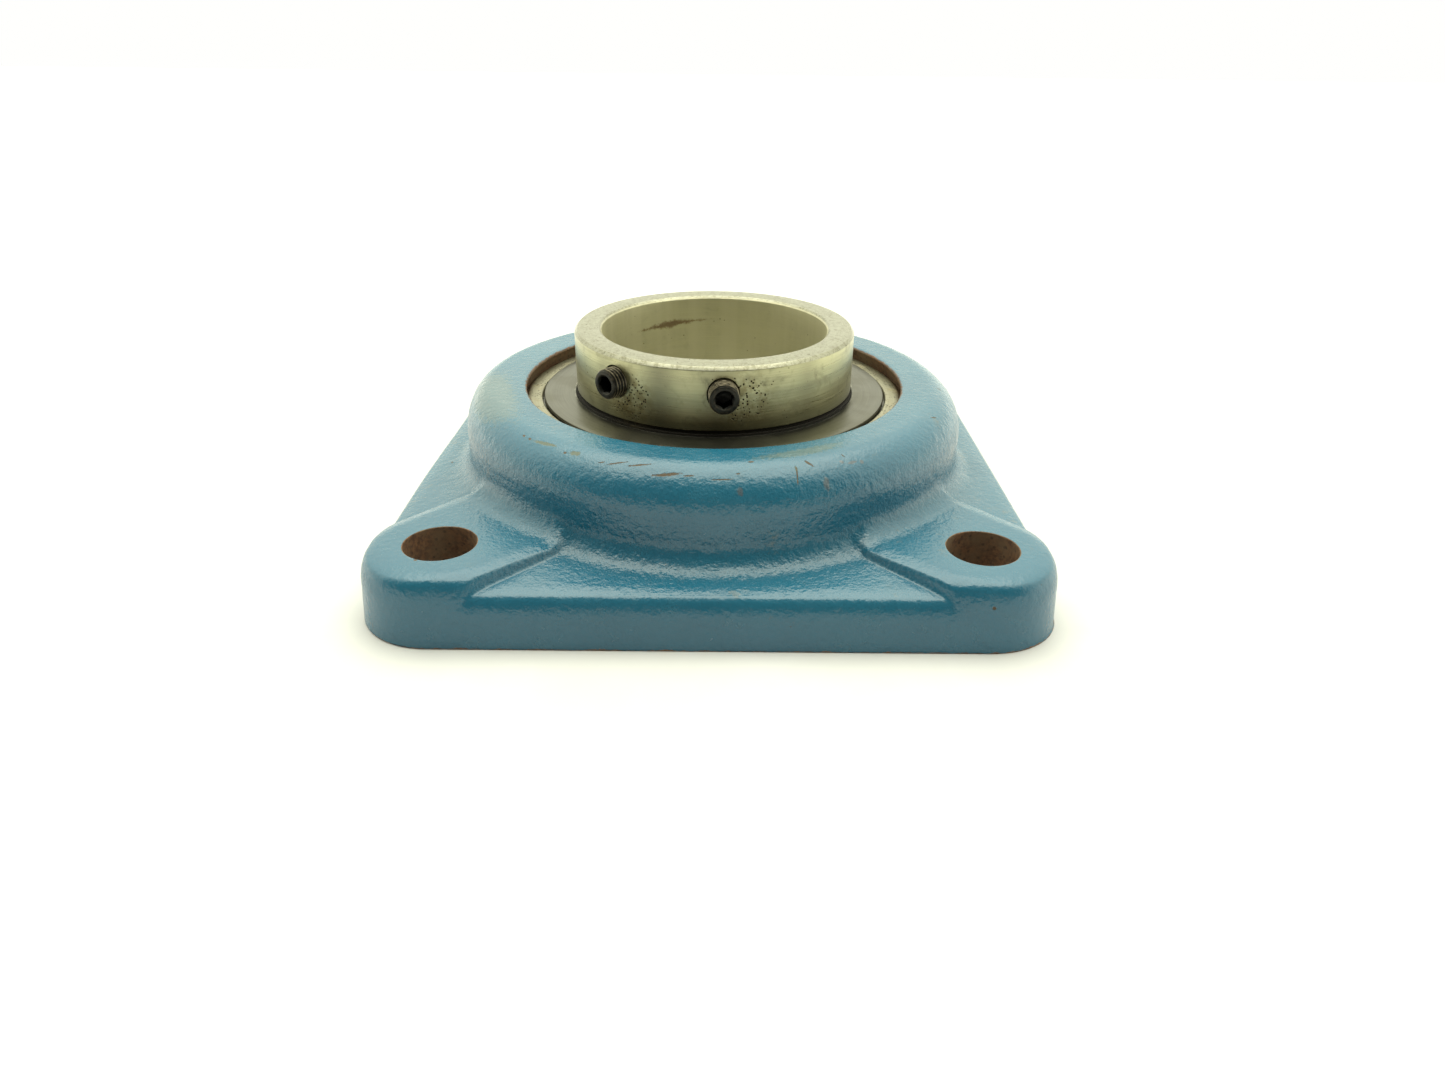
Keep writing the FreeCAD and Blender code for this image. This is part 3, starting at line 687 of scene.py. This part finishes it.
def padness(x, y):
    """1 on the corner pads, 0 in the recesses: a steep step, then a slow rise, both softer at the edge."""
    a = np.maximum(np.abs(x), np.abs(y))
    b = np.minimum(np.abs(x), np.abs(y))
    foot_a, foot_b, slope = PAD_FOOT
    past_foot = b - (foot_b + (a - foot_a) * slope)
    near_edge = np.clip(a - (FLANGE_HALF - 5.0), 0, 6)
    near_boss = np.clip(BOSS_R + 8.0 - np.hypot(x, y), 0, 9)
    width = PAD_STEP + 0.25 * near_edge ** 2 + 0.2 * near_boss ** 2
    return 0.74 * smooth(past_foot / width, 0, 1) + 0.26 * smooth(past_foot, 0, 10)


def top_height(x, y):
    """Height of the flange's upper surface before its edge is rounded."""
    reach = np.maximum(np.abs(x), np.abs(y))
    recess = RECESS_TOP + RECESS_SLOPE * np.maximum(FLANGE_HALF - RECESS_EDGE - reach, 0)
    turns = np.arctan2(y, x)
    margin = np.hypot(x, y) / outline_reach(turns, 0.0)
    margin = (1 - margin) * FLANGE_HALF
    recess = recess - RECESS_CROWN[0] * np.clip(1 - margin / RECESS_CROWN[1], 0, 1) ** 2
    pad = PAD_TOP - PAD_CROWN[0] * np.clip(1 - margin / PAD_CROWN[1], 0, 1) ** 2
    return recess + (pad - recess) * padness(x, y)


def housing_rows():
    """Angles, and closed loops of (r, z) round the casting's section with one value per angle."""
    turns = directions()
    cosine, sine = np.cos(turns), np.sin(turns)
    ones = np.ones(len(turns))
    rows = []

    def add(r, z):
        rows.append((r * ones, z * ones))

    def height_at(r):
        return top_height(r * cosine, r * sine)

    # Mouth of the seat, top of the boss and its shoulder.
    mouth = MOUTH_R + MOUTH_ROUND
    for r, z in arc((mouth, BOSS_TOP - MOUTH_ROUND), MOUTH_ROUND, 180, 90, 3):
        add(r, z)
    left = np.maximum(-cosine, 0)
    reach = SHOULDER_REACH - REAR_FULLNESS * (1 + 0.8 * left) * smooth(sine + 0.5 * left, -0.1, 0.7)
    flat_r = BOSS_R - reach
    for share in np.linspace(0, 1, 8)[1:-1]:
        add(mouth * (1 - share) + flat_r * share, BOSS_TOP)
    for turn in np.radians(np.linspace(0, 90, 25)):
        add(flat_r + reach * math.sin(turn), BOSS_TOP - SHOULDER_DROP * (1 - math.cos(turn)))
    # Wall down to the foot, then the hollow fillet.
    foot_centre = BOSS_R + FOOT_R
    wall_foot = height_at(BOSS_R) + FOOT_R
    for share in np.linspace(0, 1, 7)[1:-1]:
        add(BOSS_R, (BOSS_TOP - SHOULDER_DROP) * (1 - share) + wall_foot * share)
    for turn in np.radians(np.linspace(90, 0, 13)):
        r = foot_centre - FOOT_R * math.sin(turn)
        add(r, height_at(r) + FOOT_R * (1 - math.cos(turn)))
    # Flange top out to where its edge begins to round.
    side = np.maximum(np.abs(cosine), np.abs(sine)) / FLANGE_HALF
    on_pad = padness(cosine / side, sine / side)
    top_inset = DRAFT + EDGE_REACH[0] + (EDGE_REACH[1] - EDGE_REACH[0]) * on_pad
    drop = EDGE_DROP[0] + (EDGE_DROP[1] - EDGE_DROP[0]) * on_pad
    rounding_at = outline_reach(turns, top_inset)
    for share in np.linspace(0, 1, 29)[1:-1]:
        r = foot_centre + (rounding_at - foot_centre) * share
        add(r, height_at(r))
    # Rounded edge, drafted side and bottom corner.
    for turn in np.radians(np.linspace(0, 90, 11)):
        r = outline_reach(turns, DRAFT + (top_inset - DRAFT) * (1 - math.sin(turn)))
        add(r, height_at(r) - drop * (1 - math.cos(turn)))
    side_top = rows[-1][1]
    for share in np.linspace(0, 1, 12)[1:-1]:
        add(outline_reach(turns, DRAFT * (1 - share)), side_top * (1 - share) + SIDE_FOOT_Z * share)
    for inset, z in ((0, SIDE_FOOT_Z), (0.15, 0.15), (0.5, 0.0)):
        add(outline_reach(turns, inset), z)
    # Machined underside, relief and spherical seat.
    for r, z in ((RELIEF_R, 0.0), (RELIEF_R, RELIEF_DEPTH - RELIEF_BEVEL),
                 (RELIEF_R - RELIEF_BEVEL, RELIEF_DEPTH), (MOUTH_R, RELIEF_DEPTH)):
        add(r, z)
    high_reach = math.degrees(math.asin((BOSS_TOP - MOUTH_ROUND - CENTRE_Z) / SEAT_R))
    low_reach = math.degrees(math.asin((BOSS_TOP - CENTRE_Z) / SEAT_R))
    for r, z in arc((0, CENTRE_Z), SEAT_R, -low_reach, high_reach, 18):
        add(r, z)
    return turns, rows


def roughen(piece):
    """Move the painted skin along its normals by the lumps of a sand casting."""
    mesh = piece.data
    count = len(mesh.vertices)
    points = np.empty(count * 3)
    normals = np.empty(count * 3)
    mesh.vertices.foreach_get("co", points)
    mesh.vertex_normals.foreach_get("vector", normals)
    points = points.reshape(-1, 3) / MM
    normals = normals.reshape(-1, 3)
    r = np.hypot(points[:, 0], points[:, 1])
    z = points[:, 2]
    skin = (r > MOUTH_R + 0.8) & (z > 0.6) & ~((r < RELIEF_R + 0.5) & (z < RELIEF_DEPTH + 1))
    wall = smooth(r, BOSS_R - 6, BOSS_R - 1) * (1 - smooth(r, BOSS_R + 6, BOSS_R + 12))
    strength = np.where(skin, 0.35 + 0.65 * wall, 0.0) * smooth(z, 0.6, 3.0)
    strength *= smooth(r, MOUTH_R + 0.8, MOUTH_R + 4.0)
    moves = np.zeros(count)
    for i in np.nonzero(strength > 0)[0]:
        at = Vector(points[i])
        lumps = sum(noise.noise(at / size) for size in LUMP_SIZES)
        moves[i] = strength[i] * (LUMP_HEIGHT * lumps - 0.04)
    mesh.vertices.foreach_set("co", ((points + normals * moves[:, None]) * MM).ravel())
    mesh.update()


def hole_cutter(x, y):
    """Bolt hole: a plain cylinder with a rounded mouth on the pad."""
    lip = 0.35
    top = PAD_TOP - (REAR_DROP if y > 0 else 0)
    outline = [(0, -5), (BOLT_HOLE_R, -5), (BOLT_HOLE_R, top - lip)]
    outline += arc((BOLT_HOLE_R + lip, top - lip), lip, 180, 90, 4)[1:]
    outline += [(BOLT_HOLE_R + lip, top + 8), (0, top + 8)]
    cutter = spindle("hole_cutter", outline, 96)
    cutter.data.transform(Matrix.Translation(Vector((x, y, 0)) * MM))
    return cutter


def slot_cutter():
    """Two loading slots behind the seat, as one cutter."""
    reach, half = SPHERE_R + 0.5, OUTER_HIGH.z - CENTRE_Z + 0.5
    points, faces = [], []
    limit = math.asin(half / reach)
    for side in (0, math.pi):
        start = len(points)
        rim = [(reach * math.cos(side + t), reach * math.sin(side + t))
               for t in np.linspace(-limit, limit, 13)]
        inner = SPHERE_R * 0.8
        flank = [(inner * math.cos(side) - s * half * math.sin(side),
                  inner * math.sin(side) + s * half * math.cos(side)) for s in (1, -1)]
        loop = rim + flank
        for z in (-5.0, CENTRE_Z):
            points += [(x, y, z) for x, y in loop]
        count = len(loop)
        faces.append(tuple(range(start + count - 1, start - 1, -1)))
        faces.append(tuple(range(start + count, start + 2 * count)))
        for i in range(count):
            j = (i + 1) % count
            faces.append((start + i, start + j, start + count + j, start + count + i))
    return make_object("slot_cutter", points, faces)


CHECK_BALL_AT = 10.42  # from the foot of the nipple's hexagon
NIPPLE_HOLE_R = 4.85
SPOT_FACE_R = 8.25


def nipple_axis():
    """Foot of the grease nipple's hexagon and the way it points, from the check ball's joint."""
    direction = -Vector(joint("nipple_ball_travel")["axis"])
    low, high = box_mm("nipple_ball")
    ball = (low + high) / 2
    return ball - direction * CHECK_BALL_AT, direction


def nipple_cutter():
    """Spot face and hole for the grease nipple."""
    foot, direction = nipple_axis()
    outline = [(0, -7.5), (NIPPLE_HOLE_R, -7.5), (NIPPLE_HOLE_R, 0), (SPOT_FACE_R, 0),
               (SPOT_FACE_R, 30), (0, 30)]
    cutter = spindle("nipple_cutter", outline, 64)
    aim(cutter, foot, direction)
    return cutter


def bent_plate(turns, rows):
    """The section's points in space, with the plate moved off centre and thinner and narrower behind."""
    r = np.stack([row[0] for row in rows], 1)
    z = np.stack([row[1] for row in rows], 1)
    x, y = r * np.cos(turns)[:, None], r * np.sin(turns)[:, None]
    plate = smooth(r, BOSS_R, BOSS_R + 12) * (z > 0.2)
    z = z - REAR_DROP * plate * smooth(y, 52, 74) * z / PAD_TOP
    narrowing = np.where(x < 0, smooth(y, -30, 60), smooth(y, 50, 85)) * smooth(np.abs(x), 60, 100)
    x = x + plate * (CASTING_SHIFT - REAR_DROP * np.sign(x) * narrowing)
    return np.stack([x, y, z], -1).reshape(-1, 3)


def make_housing(paint, iron):
    """The casting, from its section in every direction, roughened and then drilled."""
    turns, rows = housing_rows()
    points = bent_plate(turns, rows)
    piece = make_object("housing_casting", points, grid_faces(len(turns), len(rows), True), 50)
    roughen(piece)
    piece.data.materials.append(paint)
    piece.data.materials.append(iron)
    cutters = [hole_cutter(a * BOLT_X, b * BOLT_X) for a in (-1, 1) for b in (-1, 1)]
    cutters += [slot_cutter(), nipple_cutter()]
    for cutter in cutters:
        cutter.data.materials.append(iron)
    cut_away(piece, cutters)
    centres = np.empty(len(piece.data.polygons) * 3)
    piece.data.polygons.foreach_get("center", centres)
    centres = centres.reshape(-1, 3) / MM
    slots = np.zeros(len(piece.data.polygons), np.int32)
    piece.data.polygons.foreach_get("material_index", slots)
    reach = np.hypot(centres[:, 0], centres[:, 1])
    seat = np.hypot(reach, centres[:, 2] - CENTRE_Z) < SPHERE_R + 0.2
    relief = (reach < RELIEF_R) & (centres[:, 2] < RELIEF_DEPTH + 0.1)
    slots[seat | relief | (reach < MOUTH_R + 0.25) | (centres[:, 2] < 0.05)] = 1
    piece.data.polygons.foreach_set("material_index", slots)
    shade(piece, 38)
    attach(piece, "housing")
    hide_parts("housing")


# ---- set screws ----
SCREWS = {"set_screw_left": -40.6, "set_screw_right": 3.7}
SCREW_Z = 58.7
SCREW_LENGTH = 12.0
SCREW_R = 4.93
THREAD_PITCH = 1.25
THREAD_DEPTH = 0.72
SOCKET = 5.0
SOCKET_DEPTH = 5.5
CUP_R = 2.5
TIP_R = 3.0  # where the cup point's cone begins


def screw_point(name, radius):
    """Point on a set screw's axis."""
    return polar(radius, SCREWS[name], SCREW_Z)


def screw_face_radius(name):
    """Distance from the shaft axis to the screw's outer face."""
    direction = polar(1, SCREWS[name])
    return max((v.co / MM).dot(direction) for v in frame["nodes"][name].data.vertices)


def make_set_screw(name, material):
    """Socket set screw with a real helical thread, cup point and hexagon socket."""
    around = 96
    turns = np.linspace(0, 2 * math.pi, around, endpoint=False)
    rings = []

    def ring(radii, z):
        rings.append(np.stack([radii * np.cos(turns), radii * np.sin(turns), z * np.ones(around)], -1))

    flat = SCREW_R - 0.6
    for radius, z in ((0.05, 0.9), (1.6, 0.55), (CUP_R, 0.0), (TIP_R, 0.0)):
        ring(radius, z)
    for z in np.linspace(0.15, SCREW_LENGTH - 0.05, 110):
        phase = (z / THREAD_PITCH - turns / (2 * math.pi)) % 1.0
        wave = np.clip(np.abs(phase - 0.5) * 2.0 * 1.25 - 0.1, 0, 1)
        thread = SCREW_R - THREAD_DEPTH * wave
        bevel = flat + SCREW_LENGTH - z
        ring(np.minimum(np.minimum(thread, TIP_R + z), bevel), z)
    ring(flat - 0.05, SCREW_LENGTH)
    hex_turn = (turns + math.pi / 6) % (math.pi / 3) - math.pi / 6
    hex_r = SOCKET / 2 / np.cos(hex_turn)
    corner = SOCKET / math.sqrt(3)
    ring(np.maximum(hex_r, corner + 0.42), SCREW_LENGTH)
    ring(np.minimum(np.maximum(hex_r, corner + 0.05), hex_r + 0.45), SCREW_LENGTH - 0.3)
    ring(hex_r, SCREW_LENGTH - 0.7)
    ring(hex_r, SCREW_LENGTH - SOCKET_DEPTH)
    ring(1.2, SCREW_LENGTH - SOCKET_DEPTH - 0.6)
    ring(0.05, SCREW_LENGTH - SOCKET_DEPTH - 0.9)
    grid = np.stack(rings, 1).reshape(-1, 3)
    count = len(rings)
    faces = [tuple(q) for q in grid_faces(around, count, False)]
    faces.append(tuple(i * count for i in range(around)))
    faces.append(tuple(i * count + count - 1 for i in reversed(range(around))))
    piece = make_object(name + "_threaded", grid, faces, 32)
    aim(piece, screw_point(name, screw_face_radius(name) - SCREW_LENGTH), polar(1, SCREWS[name]))
    piece.data.materials.append(material)
    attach(piece, name)
    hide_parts(name)


# ---- rings ----
INNER_LAND_R = 50.0
OUTER_LAND_R = 60.9
RACE_R = 8.993
INNER_RACE_BOTTOM = 46.219
OUTER_RACE_BOTTOM = 63.781
NECK_R = 48.7  # groove under the collar
FLINGER_SEAT_R = 49.7
FLINGER_SEAT = (14.5, 16.5)  # where the seats begin and end, from the middle plane
COLLAR_R = 49.5
COLLAR_START = 17.5  # from the middle plane
COLLAR_Z = CENTRE_Z + COLLAR_START
PITTED = {"set_screw_left": (7.0, 4.0), "set_screw_right": (8.0, 2.0)}  # degrees round, and mm below


def about_centre(steps):
    """Outline steps given from the bearing's middle plane, raised to their place."""
    return [(r, z + CENTRE_Z, size) for r, z, size in steps]


def race(bottom_r, groove_sign, land_r):
    """Points of a ball groove from its upper edge to its lower edge."""
    centre = bottom_r - groove_sign * RACE_R
    reach = math.degrees(math.acos(groove_sign * (land_r - centre) / RACE_R))
    if groove_sign > 0:
        return arc((centre, CENTRE_Z), RACE_R, reach, -reach, 16)
    return arc((centre, CENTRE_Z), RACE_R, 180 - reach, 180 + reach, 16)


def make_inner_ring(material):
    """Inner ring with softened edges and two countersunk threaded holes."""
    top, low = RING_HIGH.z - CENTRE_Z, RING_LOW.z - CENTRE_Z
    shared = [(COLLAR_R, COLLAR_START + 0.4, 0.2), (COLLAR_R - 0.4, COLLAR_START, 0.15),
              (NECK_R, COLLAR_START, 0.15), (NECK_R, FLINGER_SEAT[1], 0.1),
              (FLINGER_SEAT_R, FLINGER_SEAT[1], 0.1), (FLINGER_SEAT_R, FLINGER_SEAT[0], 0),
              (INNER_LAND_R, FLINGER_SEAT[0], 0.1)]
    upper = about_centre([(BORE_R, top - 1.0, 0.35), (BORE_R + 1.0, top, 0.35),
                          (COLLAR_R - 1.1, top, 0.4), (COLLAR_R, top - 1.1, 0.4)] + shared)
    lower = about_centre([(r, -z, size) for r, z, size in reversed(shared)]
                         + [(COLLAR_R, low + 1.0, 0.4), (COLLAR_R - 1.0, low, 0.4),
                            (BORE_R + 1.0, low, 0.35), (BORE_R, low + 1.0, 0.35)])
    groove = [(r, z, 0) for r, z in race(INNER_RACE_BOTTOM, -1, INNER_LAND_R)]
    outline = subdivided(rounded(upper + groove + lower), 4.0)
    piece = lathe("inner_ring_ground", outline, 256, 30)
    cutters = []
    for name in SCREWS:
        hole = [(0, -12), (5.0, -12), (5.0, -0.75), (5.65, 0.05), (6.2, 1.5), (6.2, 6), (0, 6)]
        cutter = spindle("cut_" + name, hole, 72)
        aim(cutter, screw_point(name, COLLAR_R), polar(1, SCREWS[name]))
        cutters.append(cutter)
    cut_away(piece, cutters)
    shade(piece, 30)
    piece.data.materials.clear()
    piece.data.materials.append(material)
    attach(piece, "shaft_ring")
    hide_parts("inner_ring")


def make_outer_ring(material):
    """Outer ring with a spherical outside and stepped ends."""
    edge_z = 14.0
    edge_r = math.sqrt(SPHERE_R ** 2 - edge_z ** 2)
    half = OUTER_HIGH.z - CENTRE_Z
    upper = about_centre([(OUTER_LAND_R, 10.6, 0.1), (61.9, 10.6, 0.1), (61.9, half - 0.4, 0.15),
                          (62.3, half, 0.2), (edge_r - 1.5, half, 0.4), (edge_r, edge_z, 0.3)])
    reach = math.degrees(math.asin(edge_z / SPHERE_R)) - 1.0
    sphere = [(r, z, 0) for r, z in arc((0, CENTRE_Z), SPHERE_R, reach, -reach, 14)]
    lower = [(r, 2 * CENTRE_Z - z, size) for r, z, size in reversed(upper)]
    groove = [(r, z, 0) for r, z in reversed(race(OUTER_RACE_BOTTOM, 1, OUTER_LAND_R))]
    outline = rounded(upper + sphere + lower + groove)
    piece = lathe("outer_ring_ground", outline, 240, 30)
    piece.data.materials.append(material)
    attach(piece, "insert")
    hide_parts("outer_ring")


def make_flinger(side, material):
    """Pressed disc with a turned-in hub and a turned-down rim."""
    under = OUTER_HIGH.z - CENTRE_Z
    sheet = 0.8
    top = under + sheet
    hub_r = FLINGER_SEAT_R + sheet
    outline = about_centre([
        (FLINGER_SEAT_R, FLINGER_SEAT[0], 0.1), (hub_r, FLINGER_SEAT[0], 0.1), (hub_r, under, 0.1),
        (FLINGER_R - sheet, under, 0.2), (FLINGER_R - sheet, under - 1.4, 0.2), (FLINGER_R, under - 1.4, 0.2),
        (FLINGER_R, top, 0.5), (FLINGER_SEAT_R, top, 0.15)])
    outline = subdivided(rounded(outline), 3.0)
    if side == "rear":
        outline = [(r, 2 * CENTRE_Z - z) for r, z in reversed(outline)]
    piece = lathe(f"{side}_flinger_pressed", outline, 240, 30)
    piece.data.materials.append(material)
    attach(piece, "shaft_ring")
    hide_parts(f"{side}_flinger")


# ---- CAD nodes that stay ----
def paint_nodes(names, material):
    """Give CAD nodes a material."""
    for name in names:
        data = frame["nodes"][name].data
        data.materials.clear()
        data.materials.append(material)


# ---- stage ----
CAMERA_PLACE = (0.0015, -0.3505, 0.1652)
CAMERA_PITCH = 27.86
CAMERA_YAW = -0.37
CAMERA_ROLL = 0.69
LENS = 24.9


def make_camera():
    """Camera close in front of the flange, looking down at it."""
    camera = bpy.data.objects.new("camera", bpy.data.cameras.new("camera"))
    bpy.context.scene.collection.objects.link(camera)
    camera.data.sensor_width = 36.0
    camera.data.lens = LENS
    camera.data.clip_start = 0.01
    turn = (Matrix.Rotation(math.radians(CAMERA_YAW), 4, "Z")
            @ Matrix.Rotation(math.radians(90 - CAMERA_PITCH), 4, "X")
            @ Matrix.Rotation(math.radians(CAMERA_ROLL), 4, "Z"))
    camera.matrix_world = Matrix.Translation(CAMERA_PLACE) @ turn
    bpy.context.scene.camera = camera


def make_light():
    """One large soft box overhead and a pale room that is darker on the camera's side."""
    lamp = bpy.data.lights.new("softbox", "AREA")
    lamp.shape = "RECTANGLE"
    lamp.size = 1.0
    lamp.size_y = 0.9
    lamp.energy = 5.4
    lamp.color = (1.0, 1.0, 0.86)
    softbox = bpy.data.objects.new("softbox", lamp)
    bpy.context.scene.collection.objects.link(softbox)
    softbox.location = (0.0, 0.13, 0.8)

    world = bpy.data.worlds.new("room")
    bpy.context.scene.world = world
    n = Nodes(world, "ShaderNodeOutputWorld")
    way = n.tree.nodes.new("ShaderNodeTexCoord").outputs["Generated"]
    lean = n.vector("DOT_PRODUCT", way, (0.12, 1.0, 0.0)).node.outputs["Value"]
    height = n.step(n.split(way)[2], 0.35, 0.8, 1.0, 1.35, smooth=False)
    glow = n.times(n.step(lean, -0.62, 0.0, 0.125, 1.64), height)
    shaders = []
    for colour, strength in (((1.0, 1.0, 0.8), glow), ((1.0, 1.0, 0.985), 1.0)):
        shader = n.tree.nodes.new("ShaderNodeBackground")
        n.feed(shader.inputs["Color"], colour)
        n.feed(shader.inputs["Strength"], strength)
        shaders.append(shader.outputs[0])
    rays = n.tree.nodes.new("ShaderNodeLightPath")
    join = n.tree.nodes.new("ShaderNodeMixShader")
    for socket, source in zip(join.inputs, (rays.outputs["Is Camera Ray"], *shaders)):
        n.feed(socket, source)
    n.tree.links.new(join.outputs[0], n.out.inputs["Surface"])
    bpy.context.scene.view_settings.view_transform = "Standard"


def make_floor():
    """Pale floor under the flange, with a painted glow that grows away from the flange and towards the back."""
    half = FLOOR_SIZE / 2 / MM
    floor = make_object("floor", [(-half, -half, 0), (half, -half, 0), (half, half, 0), (-half, half, 0)],
                        [(0, 1, 2, 3)])
    n = Material("floor")
    tone = n.mix(n.step(n.noise(60, 4, 0.6), 0.3, 0.7), (0.64, 0.64, 0.65), (0.68, 0.68, 0.7))
    # Painted light: emission brightens the floor with distance from the flange and towards the back, so the far
    # floor stays white.
    away = n.times(n.step(n.radius(), 180, 900, smooth=False), n.step(n.y, -600, 100, 0.35, 1.0))
    floor.data.materials.append(n.finish(Base_Color=tone, Roughness=0.6, Emission_Color=(1.0, 1.0, 0.86),
                                         Emission_Strength=n.times(away, 1.5)))


# ---- build ----
make_camera()
make_light()
make_floor()

bare_iron = bare_iron_material()
black_oxide = screw_material()
flinger_steel = flinger_material()
ball_steel = plain_steel_material("ball_steel", (0.8, 0.8, 0.79), (0.74, 0.74, 0.73), 0.06, 20.0, 0.001)
cage_steel = plain_steel_material("cage_steel", (0.52, 0.51, 0.47), (0.42, 0.41, 0.37), 0.34, 6.0)
carrier_steel = plain_steel_material("carrier_steel", (0.42, 0.42, 0.4), (0.33, 0.33, 0.31), 0.38, 6.0)
nipple_steel = plain_steel_material("plated_steel", (0.56, 0.53, 0.42), (0.42, 0.39, 0.3), 0.3, 3.0)
rubber = rubber_material()

make_housing(paint_material(), bare_iron)
make_inner_ring(ground_ring_material())
make_outer_ring(outer_ring_material())
for side in ("front", "rear"):
    make_flinger(side, flinger_steel)
for screw in SCREWS:
    make_set_screw(screw, black_oxide)

balls = [name for name in frame["nodes"] if name.startswith("ball_")]
paint_nodes(balls + ["nipple_ball"], ball_steel)
paint_nodes(["cage_upper", "cage_lower", "cage_rivets", "nipple_spring"], cage_steel)
paint_nodes(["front_seal_carrier", "rear_seal_carrier"], carrier_steel)
paint_nodes(["front_seal_lip", "rear_seal_lip"], rubber)
paint_nodes(["grease_nipple"], nipple_steel)
